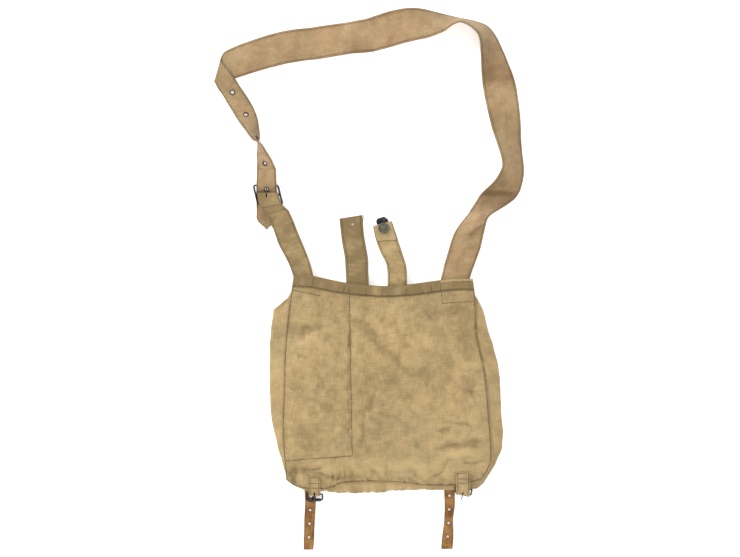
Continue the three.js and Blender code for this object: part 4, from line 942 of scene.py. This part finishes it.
def flap_grid(rows, columns):
    u, way = shares(rows, columns)
    inset = mix(0.05, 0.95, u)
    edge, end = back_at(inset, 1.0), back_at(inset, FLAP_END_GAP / BAG_HEIGHT)
    centre_y, centre_z = edge[..., 1] - FLAP_CURL, FLAP_RISE + FLAP_CURL
    back = (1 - way / CURL_START) * (HEM_HEIGHT - FLAP_CURL - GAP)
    angle = np.pi / 2 - np.pi * (way - CURL_START) / (CURL_END - CURL_START)
    down = np.clip((way - CURL_END) / (1 - CURL_END), 0, 1)
    over, curled = way < CURL_START, way <= CURL_END
    x = mix(edge[..., 0], end[..., 0], down)
    y = np.where(over, centre_y - back, np.where(curled, centre_y + np.cos(angle) * FLAP_CURL, 0))
    y = np.where(curled, y, mix(centre_y, end[..., 1], down))
    z = np.where(over, FLAP_TOP_RISE, np.where(curled, centre_z + np.sin(angle) * FLAP_CURL, FLAP_RISE))
    return np.stack([x, y, z], -1)


flap_cloth = cloth("flap_cloth", flap_grid(120, 150), FLAP_CLOTH, canvas)
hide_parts("flap")

# Straps
FOOT_LEFT = back_at(0.06, 1.0)
FOOT_RIGHT = back_at(0.897, 1.0)


def ribbon_row(row, full_width):
    """Middle point and half vector across a strap."""
    x, y, across, tilt, width, lift, layer = row
    across, tilt = math.radians(across), math.radians(tilt)
    side = np.array([math.cos(across) * math.cos(tilt), math.sin(across) * math.cos(tilt), math.sin(tilt)])
    side *= full_width * width / 2
    foot = mix(FOOT_LEFT[1], FOOT_RIGHT[1], min(max(x, 0), 1))
    rise = WEBBING / 2 + max(layer, 0) * LAYER + abs(side[2]) + lift * (FOOT_RISE - WEBBING / 2)
    return np.array([mix(FOOT_LEFT[0], FOOT_RIGHT[0], x), foot + y * LOOP_HEIGHT, rise]), side


def sampled(table, steps, width):
    places = np.linspace(0, len(table) - 1, steps + 1)
    return [ribbon_row(row, width) for row in curve_at(table, places)]


def fold_rows(before, after, steps):
    """Half circle that carries a strap from one layer to the next at a flat fold."""
    outward = unit(np.array([-before[1][1], before[1][0], 0]))
    outward = -outward if outward[0] > 0 else outward
    rows = []
    for i in range(1, steps):
        angle = math.pi * i / steps
        middle = mix(before[0], after[0], i / steps) + outward * math.sin(angle) * LAYER / 2
        middle[2] = before[0][2] + (1 - math.cos(angle)) * LAYER / 2
        rows.append((middle, mix(before[1], after[1], i / steps)))
    return rows


wide_rows = sampled(WIDE_RUN, 60, WIDE_STRAP)
narrow_rows = sampled(NARROW_RUN, 36, NARROW_STRAP)
folded_rows = fold_rows(wide_rows[-1], narrow_rows[0], 6)

# Strap through its buckle: over the first bar, under the middle one
last_narrow = narrow_rows[-1][0]
WRAP = BUCKLE_WIRE / 2 + GAP + WEBBING / 2
UNDER_WRAP = WRAP + LAYER
BAR_RISE = WEBBING / 2 + UNDER_WRAP


def bar_at(pitches):
    lean = (pitches - STRAIGHT_BAR) * BUCKLE_PITCH * BUCKLE_SKEW
    back = BUCKLE_APPROACH + pitches * BUCKLE_PITCH
    return np.array([last_narrow[0] + lean, last_narrow[1] - back, BAR_RISE])


first_bar, middle_bar, rear_bar = bar_at(0), bar_at(1), bar_at(2)
slope = math.asin((WRAP + UNDER_WRAP) / BUCKLE_PITCH)
across_buckle = np.array([NARROW_STRAP / 2, 0, 0])
tail_x = last_narrow[0]


def round_bar(bar, angle, radius):
    """Middle of the strap where it bends round a bar. A negative radius is below the bar."""
    return np.array([tail_x, bar[1] + math.sin(angle) * radius, BAR_RISE + math.cos(angle) * radius])


pass_middles = [round_bar(first_bar, angle, WRAP) for angle in (0.5, 0, -slope / 2, -slope)]
slope_top, slope_foot = pass_middles[-1], round_bar(middle_bar, -slope, -UNDER_WRAP)
pass_middles += [mix(slope_top, slope_foot, share) for share in (0.33, 0.66)]
pass_middles += [round_bar(middle_bar, -slope * share, -UNDER_WRAP) for share in (1, 0.5, 0)]
pass_rows = [(middle, across_buckle) for middle in pass_middles]
tail_rows = []
for share in (0.25, 0.5, 0.7, 0.85, 0.95, 1):
    past = share * STRAP_TAIL
    left = min(max((STRAP_TAIL - past) / STRAP_POINT, 0.08), 1)
    tail_rows.append((np.array([tail_x, middle_bar[1] - past, WEBBING / 2]), across_buckle * left))


def ribbon(rows, finer, columns, wave, seed):
    """Grid of a strap through its rows, with slightly wavy sides."""
    middles = np.array([row[0] for row in rows])
    sides = np.array([row[1] for row in rows])
    places = np.linspace(0, len(rows) - 1, (len(rows) - 1) * finer + 1)
    middles, sides = curve_at(middles, places), curve_at(sides, places)
    run = run_along(middles)[:, None]
    across = np.linspace(-1, 1, columns)
    half = np.maximum(np.linalg.norm(sides, axis=-1, keepdims=True), 2)
    edge = 1 + wave * field(run, across * 3, 24, seed) / half
    grid = middles[:, None] + sides[:, None] * (across * edge)[..., None]
    grid[..., 2] = np.maximum(grid[..., 2], WEBBING / 2)
    return grid


def strap_tone(grid, seed, run_scale=3.0):
    """Darker, handled sides and uneven fading along a strap."""
    along, across = np.arange(len(grid))[:, None] * run_scale, np.linspace(-1, 1, grid.shape[1])
    uneven = 0.6 * field(along, across * 20, 45, seed) + 0.4 * field(along, across * 20, 14, seed + 1)
    return uneven - 0.55 * np.abs(across) ** 8


def spot(grid, middle, half):
    """Soft spot round a middle, with half sizes in millimetres."""
    return np.exp(-(((grid[..., :2] - middle) / half) ** 2).sum(-1))


ON_WEBBING = WEBBING / 2 + 0.1


def side_lines(grid, inset, both=True):
    """Stitch lines along both sides of a strap, on its two faces."""
    normal = normals_of(grid)
    columns = grid.shape[1]
    place = inset * (columns - 1)
    lines = []
    for at in (place, columns - 1 - place):
        low = int(at)
        path = mix(grid[:, low], grid[:, min(low + 1, columns - 1)], at - low)
        out = normal[:, low]
        lines.append((path + out * ON_WEBBING, out))
        if both:
            lines.append((path - out * ON_WEBBING, -out))
    return lines


def cross_line(grid, row, inset=0.1):
    """Stitch line across the upper face of a strap at one of its rows."""
    columns = np.linspace(inset, 1 - inset, 12) * (grid.shape[1] - 1)
    path, out = curve_at(grid[row], columns), curve_at(normals_of(grid)[row], columns)
    return path + out * ON_WEBBING, out


strap_grid = ribbon([*wide_rows, *folded_rows, *narrow_rows, *pass_rows, *tail_rows], 8, 17, 0.5, 31)
strap_x, strap_y = strap_grid[..., 0], strap_grid[..., 1]
strap_shade = strap_tone(strap_grid, 33, 1.9)
# sharp creases on the right, each painted as a dark line of shade with painted shade on the tilted face
# below it: one end and the other, reach of the shade below, strength
STRAP_CREASES = [((127, 264.5), (176, 260.7), 38, 0.85), ((111, 202), (142, 227), 12, 0.5)]
for start, end, reach, strength in STRAP_CREASES:
    way = unit(np.subtract(end, start))
    along = (strap_x - start[0]) * way[0] + (strap_y - start[1]) * way[1]
    below = (strap_x - start[0]) * way[1] - (strap_y - start[1]) * way[0]
    ends = smooth(0.3 + along / 8) * smooth(0.3 + (math.dist(start, end) - along) / 8)
    shadow = strength * smooth(below / 3) * smooth((reach - below) / (0.7 * reach))
    strap_shade -= ends * (0.9 * np.exp(-((below / 1.8) ** 2)) + shadow)
# rust below the last eyelet
strap_shade -= 1.1 * spot(strap_grid, (-162, 263.5), (11, 3))
strap_piece = cloth("strap_piece", strap_grid, WEBBING, strap_canvas, np.clip(strap_shade, -1, 1))
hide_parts("shoulder_strap", "shoulder_strap_end")

# Eyelets along the narrow end, counted back from the buckle
end_rows = [*folded_rows, *narrow_rows, *pass_rows, *tail_rows]
end_run = run_along([row[0] for row in end_rows])
tongue_ring = BUCKLE_WIRE + 2 * GAP + TONGUE_WIRE
tongue_root = np.array([tail_x, middle_bar[1], BAR_RISE + tongue_ring / 2])
tongue_tip = np.array([tail_x, first_bar[1], BAR_RISE - BUCKLE_WIRE / 2 - GAP - TONGUE_WIRE / 2])
strap_way, tongue_way = slope_foot - slope_top, tongue_tip - tongue_root
offset = slope_top - tongue_root
crossing = tongue_root + tongue_way * (
    (offset[1] * strap_way[2] - offset[2] * strap_way[1])
    / (tongue_way[1] * strap_way[2] - tongue_way[2] * strap_way[1])
)


def strap_place(length):
    i = max(1, int(np.argmax(end_run >= length)))
    a, b = end_rows[i - 1], end_rows[i]
    t = (length - end_run[i - 1]) / (end_run[i] - end_run[i - 1])
    return mix(a[0], b[0], t), unit(np.cross(unit(b[0] - a[0]), unit(mix(a[1], b[1], t))))


slope_top_run = end_run[len(folded_rows) + len(narrow_rows) + 3]
eyelet_run = slope_top_run + np.linalg.norm(crossing - slope_top)
eyelets = [strap_place(eyelet_run - k * EYELET_PITCH) for k in (4, 3, 2, 1)]
eyelets.append((crossing, unit(np.cross(strap_way, across_buckle))))
cut_holes(strap_piece, eyelets, EYELET_BORE + 0.8, 6)

# radius, and rise over the cloth
EYELET_TOP = [
    (EYELET_BORE / 2 + 0.35, 0), (EYELET_FLANGE / 2, 0.15), (EYELET_FLANGE / 2 - 0.5, 0.5),
    (EYELET_BORE / 2 + 0.4, 0.62), (EYELET_BORE / 2, 0.3),
]
eyelet_top = [(radius, WEBBING / 2 + rise) for radius, rise in EYELET_TOP]
eyelet_foot = [(radius, -rise) for radius, rise in reversed(eyelet_top)]
for number, (point, normal) in enumerate(eyelets, 1):
    if point[2] < WEBBING:
        profile = [(EYELET_BORE / 2, -WEBBING / 2), eyelet_foot[-1], *eyelet_top]
    else:
        profile = [*eyelet_foot, *eyelet_top]
    ring = new_object(f"eyelet_{number}", *turned_parts(profile, point, normal), dull_steel)
    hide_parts(f"strap_eyelet_{number}")

# Strap buckle and its tongue
half = BUCKLE_WIDTH / 2 - BUCKLE_WIRE / 2
reach = np.array([half, 0, 0])
corners = [first_bar - reach, first_bar + reach, rear_bar + reach, rear_bar - reach]
frame_parts = [
    tube_parts(rounded_path(corners, 3.5), BUCKLE_WIRE / 2, closed=True, sides=16),
    tube_parts([middle_bar - reach, middle_bar + reach], BUCKLE_WIRE / 2, sides=16),
]
strap_buckle = new_object("strap_buckle", *joined_parts(frame_parts), dark_steel)
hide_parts("strap_buckle_frame")


def tongue_parts(base, along, out, ring, wire, tip):
    """Wire tongue: an eye round its bar, then an arm to its tip."""
    up = unit(np.cross(along, out))
    eye = np.linspace(0.7, 2 * math.pi, 22)
    path = [base + ring / 2 * (out * math.cos(angle) + up * math.sin(angle)) for angle in eye]
    path += [mix(path[-1], tip, t) for t in (0.3, 0.6, 0.85, 1)]
    radii = [wire / 2] * (len(path) - 2) + [wire / 2 * 0.9, wire / 2 * 0.6]
    return tube_parts(path, radii)


bar_centre = np.array([tail_x, middle_bar[1], BAR_RISE])
strap_tongue_out = unit(tongue_root - bar_centre)
strap_tongue = new_object(
    "strap_tongue",
    *tongue_parts(bar_centre, np.array([1.0, 0, 0]), strap_tongue_out, tongue_ring, TONGUE_WIRE, tongue_tip),
    dull_steel,
)
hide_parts("strap_buckle_tongue")

# Buckle strap: foot, run, loop round the middle bar, and the end sewn below its own start
buckle_run = sampled(BUCKLE_STRAP_RUN, 18, BUCKLE_STRAP)
loop_half = np.array([-BUCKLE_WIDTH / 2 + BUCKLE_WIRE + BUCKLE_PLAY, 0, 0])
over_rear = BAR_RISE + WRAP + 2 * GAP + LAYER
lean = 0.15
leaning = np.array([loop_half[0] * math.cos(lean), loop_half[0] * math.sin(lean), 0])
loop_rows = [
    (np.array([rear_bar[0], rear_bar[1], over_rear]), leaning),
    (np.array([middle_bar[0], middle_bar[1], BAR_RISE + WRAP]), loop_half),
]
for turn in (0.25, 0.5, 0.75, 1):
    angle = math.pi * turn
    loop_rows.append((middle_bar + np.array([0, math.sin(angle), math.cos(angle)]) * WRAP, loop_half))
CLEAR_WRAP = WRAP + 2 * GAP
for angle in (-1.6, -0.8, 0):
    loop_rows.append((rear_bar + np.array([0, -math.sin(angle), math.cos(angle)]) * CLEAR_WRAP, loop_half))
loop_rows.append((buckle_run[-1][0] - (0, 0, LAYER), buckle_run[-1][1]))
buckle_grid = ribbon([*buckle_run, *loop_rows], 6, 15, 0.4, 41)
buckle_piece = cloth(
    "buckle_strap_piece", buckle_grid, WEBBING, canvas, strap_tone(buckle_grid, 43) - 0.55
)
cut_slot(buckle_piece, bar_centre, (TONGUE_WIRE + 2 * GAP, 2 * WRAP + WEBBING + 4 * GAP, 4 * WRAP))
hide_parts("buckle_strap")

# Belt tabs, the patch on the right one, its button and hook
def tab_rows(table, foot, width, steps):
    rows = []
    for row in curve_at(table, np.linspace(0, len(table) - 1, steps + 1)):
        middle, side = ribbon_row(row, width)
        middle[:2] = foot[:2] + row[:2] * TAB_REACH
        rows.append((middle, side))
    return rows


left_tab_rows = tab_rows(BELT_TAB_LEFT, back_at(0.36, 1.0), TAB_LEFT_WIDTH, 15)
right_tab_rows = tab_rows(BELT_TAB_RIGHT, back_at(0.58, 1.0), TAB_RIGHT_WIDTH, 15)
tab_grids = {}
for side, rows, seed, shade in (("left", left_tab_rows, 51, -0.95), ("right", right_tab_rows, 55, -0.05)):
    grid = ribbon(rows, 6, 17, 0.5, seed)
    tab_grids[side] = grid
    tab_tone = strap_tone(grid, seed + 1) + shade
    if side == "left":
        tab_tone -= 1.2 * spot(grid, (-31, 227), (2.5, 6))
    tab = cloth(f"belt_tab_{side}_piece", grid, WEBBING, canvas, np.clip(tab_tone, -1, 1))
    if side == "left":
        cut_holes(tab, [((-45.6, 218.4, WEBBING / 2), (0, 0, 1))], 2.4, 8)
    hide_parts(f"belt_tab_{side}")

patch_top = right_tab_rows[-1][0]
patch_rise = np.array([0, 0, WEBBING / 2 + GAP * 1.5 + PATCH_CLOTH / 2])
patch_rows = [
    (middle + patch_rise, side * PATCH_SHARE)
    for middle, side in right_tab_rows
    if np.linalg.norm(middle - patch_top) < PATCH_LENGTH
]
patch_grid = ribbon(patch_rows, 8, 15, 0.3, 61)
patch_piece = cloth("belt_tab_patch_piece", patch_grid, PATCH_CLOTH, pale_canvas)
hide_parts("belt_tab_patch")

button_base = patch_rows[len(patch_rows) // 2][0] + (0, 0, PATCH_CLOTH / 2 + 2 * GAP)
BUTTON_PROFILE = [
    (0.01, 0.02), (0.3, 0.02), (0.34, 0.3), (0.93, 0.33), (1, 0.45), (0.99, 0.62), (0.93, 0.74),
    (0.82, 0.76), (0.74, 0.62), (0.5, 0.66), (0.42, 0.84), (0.3, 0.97), (0.16, 1), (0.01, 1),
]
button_profile = [(r * TAB_BUTTON / 2, z * BUTTON_RISE) for r, z in BUTTON_PROFILE]
button = new_object("button", *turned_parts(button_profile, button_base, (0, 0, 1), 48), button_metal)
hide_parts("tab_button")

HOOK_TURN = math.radians(17)
HOOK_OUTLINE = [(-8, -6), (8, -6), (8, 1.5), (4.6, 6), (-5.6, 6), (-8, 3)]
# rise and share of the outline
HOOK_LEVELS = [(0.12, 0.97), (0.3, 1), (1.0, 1), (1.25, 0.96)]
low, high = (np.array(corner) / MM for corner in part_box("tab_hook"))
hook_way = np.array([math.cos(HOOK_TURN), math.sin(HOOK_TURN), 0])
hook_side = np.array([-hook_way[1], hook_way[0], 0])
hook_centre = (low + high) / 2 * (1, 1, 0)
hook_corners = np.array([hook_centre + x * hook_way + y * hook_side for x, y in HOOK_OUTLINE])
hook_rim = rounded_path(hook_corners, 1.2, 4)
hook_middle = hook_rim.mean(0)
hook_points = [hook_middle + (hook_rim - hook_middle) * size + (0, 0, rise) for rise, size in HOOK_LEVELS]
hook_faces = ring_faces(len(HOOK_LEVELS), len(hook_rim))
hook = new_object("hook", np.concatenate(hook_points), hook_faces, dark_steel, smooth_faces=False)
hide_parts("tab_hook")


# Small buckles, their tongues and tabs
SMALL_WRAP = SMALL_WIRE / 2 + GAP + WEBBING / 2


def ways_at(turn):
    """Way along a bar that is turned on the table, and the way from it to the bag's bottom."""
    return np.array([math.cos(turn), -math.sin(turn), 0]), np.array([-math.sin(turn), -math.cos(turn), 0])


def base_bar(u, share, lift):
    clear = CANVAS / 2 + GAP + WEBBING + GAP + SMALL_WIRE / 2 + BAR_CLEARANCE
    return np.array([back_at(u, 0.0)[0], wing_at(share)[1] - clear, WING_RISE + lift])


def small_buckle(side, base, turn, away, far_rise, roller):
    along, out = ways_at(turn)
    half = (SMALL_BUCKLE_WIDTH / 2 - SMALL_WIRE / 2) * along
    far = base + out * away * SMALL_BUCKLE_LENGTH
    far[2] = far_rise
    loop = rounded_path([base - half, base + half, far + half, far - half], 2.2)
    parts = [tube_parts(loop, SMALL_WIRE / 2, closed=True)]
    if roller:
        end = SMALL_BUCKLE_WIDTH / 2 - SMALL_WIRE - 1
        profile = [(0.4, -end), (roller / 2 - 0.3, -end), (roller / 2, -end + 0.3)]
        profile += [(radius, -place) for radius, place in reversed(profile)]
        parts.append(turned_parts(profile, far, along, 28))
    made = new_object(f"lower_buckle_{side}", *joined_parts(parts), dark_steel)
    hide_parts(f"lower_buckle_{side}_frame")
    return far


def small_tongue(side, base, turn, pitch):
    along, out = ways_at(turn)
    out = out * math.cos(pitch) + (0, 0, math.sin(pitch))
    ring = SMALL_WIRE + 2 * GAP + SMALL_TONGUE
    parts = tongue_parts(base, along, out, ring, SMALL_TONGUE, base + out * SMALL_TONGUE_LENGTH)
    made = new_object(f"lower_tongue_{side}", *parts, dull_steel, f"{side}_tongue")
    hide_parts(f"lower_buckle_{side}_tongue")


def lower_tab_rows(u, width, base, turn, far):
    along, out = ways_at(turn)
    across = np.array([1.0, 0, 0])

    def over_frame(y):
        if far is None:
            return 0
        part = (y - base[1]) / (far[1] - base[1])
        fall = max(0, y - far[1] - SMALL_WIRE) * 0.6
        return mix(base[2], far[2], min(part, 1)) + SMALL_WRAP + 4 * GAP - fall

    rows = []
    edge_y = back_at(u, 0.0)[1]
    for share in (1, 0.8, 0.6, 0.4, 0.2, 0.04):
        place = place_on_back(base[0], edge_y + share * LOWER_TAB_REACH)
        middle = off_back(*place, CANVAS / 2 + SLACK + WEBBING / 2)
        middle[2] = max(middle[2], over_frame(middle[1]))
        rows.append((middle, across * width / 2))
    edge = rows[-1][0]
    for part, rise in ((0.25, 0.88), (0.5, 0.7), (0.8, 0.42)):
        middle = mix(edge, base, part)
        middle[2] = max(mix(base[2] + SMALL_WRAP, edge[2], rise), over_frame(middle[1]))
        rows.append((middle, unit(mix(across, along, part)) * width / 2))
    for angle in np.linspace(0, math.pi, 5):
        middle = base + (out * math.sin(angle) + (0, 0, math.cos(angle))) * SMALL_WRAP
        rows.append((middle, along * width / 2))
    return rows


def lower_tab(side, u, width, base, turn, far, seed):
    grid = ribbon(lower_tab_rows(u, width, base, turn, far), 6, 13, 0.4, seed)
    made = cloth(f"lower_tab_{side}_piece", grid, WEBBING, canvas, strap_tone(grid, seed + 1) + 0.15)
    slot = (SMALL_TONGUE + 2 * (GAP + SLOT_PLAY), 8 * SMALL_WRAP, 6 * SMALL_WRAP)
    cut_slot(made, base, slot, turn, WEBBING - 2 * SMALL_WRAP)
    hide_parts(f"lower_tab_{side}")
    return grid


left_base = base_bar(LEFT_TAB_U, 0.383, BAR_LIFT_LEFT)
right_base = base_bar(RIGHT_TAB_U, 0.632, BAR_LIFT_RIGHT)
left_far = small_buckle("left", left_base, 0, 1, LEATHER + GAP + SMALL_ROLLER / 2, SMALL_ROLLER)
roller_top = left_far[2] + SMALL_ROLLER / 2 + GAP + SMALL_TONGUE / 2
small_tongue("left", left_base, 0, math.atan2(roller_top - left_base[2], SMALL_BUCKLE_LENGTH))
left_tab_grid = lower_tab("left", LEFT_TAB_U, LOWER_TAB_LEFT, left_base, 0, None, 71)
right_far = small_buckle("right", right_base, RIGHT_TURN, -1, SEAM_RISE + RIGHT_FRAME_LIFT, 0)
small_tongue("right", right_base, RIGHT_TURN, -0.35)
right_tab_grid = lower_tab("right", RIGHT_TAB_U, LOWER_TAB_RIGHT, right_base, RIGHT_TURN, right_far, 75)


# Closing straps: sewn between the flap and the front panel, then out past the bottom
def closing_strap(side, buckle, top, end, bend, seed):
    bottom = buckle[1] + CLOSING_TUCK
    total = CLOSING_SEWN + CLOSING_LENGTH
    rows = []
    for share in np.linspace(0, 1, 17):
        fall = smooth(max(0, share * total - CLOSING_SEWN * 0.8) / total / 0.12)
        aside = mix(top, end, share) + bend * math.sin(math.pi * share)
        rise = mix(FLAP_CLOTH + GAP + LEATHER / 2, LEATHER / 2, fall)
        place = buckle[0] + aside * CLOSING_WIDTH, bottom + CLOSING_SEWN - share * total
        rows.append((np.array([*place, rise]), np.array([CLOSING_WIDTH / 2, 0, 0])))
    grid = ribbon(rows, 8, 15, 2.2, seed)
    across = np.linspace(-1, 1, 15)
    thickness = LEATHER * (0.98 - 0.35 * np.abs(across) ** 6)
    holes = []
    for k in range(4):
        y = bottom - CLOSING_LENGTH + CLOSING_HOLE_PITCH * (k + 0.9)
        x = np.interp(-y, [-r[0][1] for r in rows], [r[0][0] for r in rows])
        holes.append(np.array([x, y, LEATHER / 2]))
    near = np.min([np.hypot(grid[..., 0] - h[0], grid[..., 1] - h[1]) for h in holes], axis=0)
    # painted shade round each hole, standing in for its dark wall, and darker sides
    tone = -0.9 * np.exp(-np.maximum(near - CLOSING_HOLE / 2, 0) / 1.6) - 0.7 * np.abs(across) ** 6
    made = cloth(f"closing_strap_{side}_piece", grid, thickness, leather, tone)
    cut_holes(made, [(h, (0, 0, 1)) for h in holes], CLOSING_HOLE, 8)
    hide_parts(f"closing_strap_{side}")


closing_strap("left", left_base, -0.26, -0.6, 0, 81)
closing_strap("right", right_base, -1.3, -1.53, 0.12, 85)

# Seams of the bag
POCKET_TOP = (-49.5, 121)
POCKET_CORNER = (-45.7, -94.5)
POCKET_SIDE = (-136, -102)
HEM_CROSSINGS = (0.112, 0.284, 0.313, 0.409, 0.497, 0.627, 0.767, 0.816)
BUCKLE_STRAP_SEAMS = (247.9, 234.7)
t = np.linspace(0, 1, 300)
edge_u, edge_v = SEAM_INSET / BAG_WIDTH, SEAM_INSET / BAG_HEIGHT
on_back = CANVAS / 2 + 0.1
on_hem = CANVAS + SLACK + CANVAS / 2 + 0.1
hem_low = mix(HEM_SHARE, 1, 0.06)


def pocket_line(start):
    """Stitch line over the inner pocket, from a point to the pocket's corner."""
    places = (mix(start[k], POCKET_CORNER[k], t) for k in (0, 1))
    return back_line(*place_on_back(*places), on_back)


seam_lines = [
    back_line(mix(edge_u, 1 - edge_u, t), edge_v, on_back),
    back_line(edge_u, mix(edge_v, HEM_SHARE, t), on_back),
    back_line(1 - edge_u, mix(edge_v, HEM_SHARE, t), on_back),
    back_line(mix(0.01, 0.99, t), hem_low, on_hem),
    pocket_line(POCKET_TOP),
    pocket_line(POCKET_SIDE),
    # where the feet of the straps are sewn on
    back_line(mix(0.01, 0.16, t), mix(0.92, 0.91, t), on_back),
    back_line(mix(STRAP_PATCH, 0.985, t), 0.885, on_back),
    back_line(STRAP_PATCH, mix(0.885, HEM_SHARE, t), on_back),
    back_line(mix(STRAP_PATCH, 0.985, t), mix(HEM_SHARE, 1, 0.7), on_hem),
]
for at in HEM_CROSSINGS:
    seam_lines.append(back_line(at, np.linspace(hem_low, 0.985, 40), on_hem))
stitches("bag_seams", seam_lines, seam_thread)

shown_run = buckle_grid[: len(buckle_run) * 6]
strap_lines = side_lines(strap_grid, 0.06) + side_lines(shown_run, 0.08, both=False)
for row_y in BUCKLE_STRAP_SEAMS:
    strap_lines.append(cross_line(buckle_grid, int(np.argmin(np.abs(shown_run[:, 7, 1] - row_y)))))
stitches("strap_seams", strap_lines, strap_thread)
tab_lines = [line for grid in tab_grids.values() for line in side_lines(grid, 0.1, both=False)]
corner = np.array([(-30.4 - 0.12 * k, 232 - k, WEBBING + 0.1) for k in range(11)])
tab_lines.append((corner, np.tile((0, 0, 1.0), (11, 1))))
for grid in (left_tab_grid[1:50], right_tab_grid[1:50]):
    tab_lines += side_lines(grid, 0.12, both=False)
    tab_lines += [cross_line(grid, row, 0.12) for row in (1, 14, 26)]
stitches("tab_seams", tab_lines, seam_thread)

# Table and light, in metres
TABLE_HALF = 6
TABLE_DROP = 0.0004
floor_mesh = bpy.data.meshes.new("table")
floor_corners = [(x * TABLE_HALF, y * TABLE_HALF, 0) for x, y in ((-1, -1), (1, -1), (1, 1), (-1, 1))]
floor_mesh.from_pydata(floor_corners, [], [(0, 1, 2, 3)])
floor = linked("table", floor_mesh)
floor_paint = Paint("table")
floor_paint.surface(Base_Color=(0.93, 0.93, 0.93, 1), Roughness=0.9)
floor_paint.surface(Emission_Color=(1, 1, 1, 1), Emission_Strength=0.4)
floor_mesh.materials.append(floor_paint.material)
floor.location.z = -TABLE_DROP

world = bpy.data.worlds.new("studio")
world.use_nodes = True
world.node_tree.nodes["Background"].inputs["Color"].default_value = (1, 1, 1, 1)
world.node_tree.nodes["Background"].inputs["Strength"].default_value = 0.95
bpy.context.scene.world = world


def soft_light(name, place, size, power):
    data = bpy.data.lights.new(name, "AREA")
    data.size = size
    data.energy = power
    light = linked(name, data)
    light.location = place
    light.rotation_euler = (-Vector(place)).to_track_quat("-Z", "Y").to_euler()


soft_light("key", (-1.8, 1.7, 1.6), 0.8, 56)
soft_light("fill", (0.7, -2.2, 1.9), 2, 24)
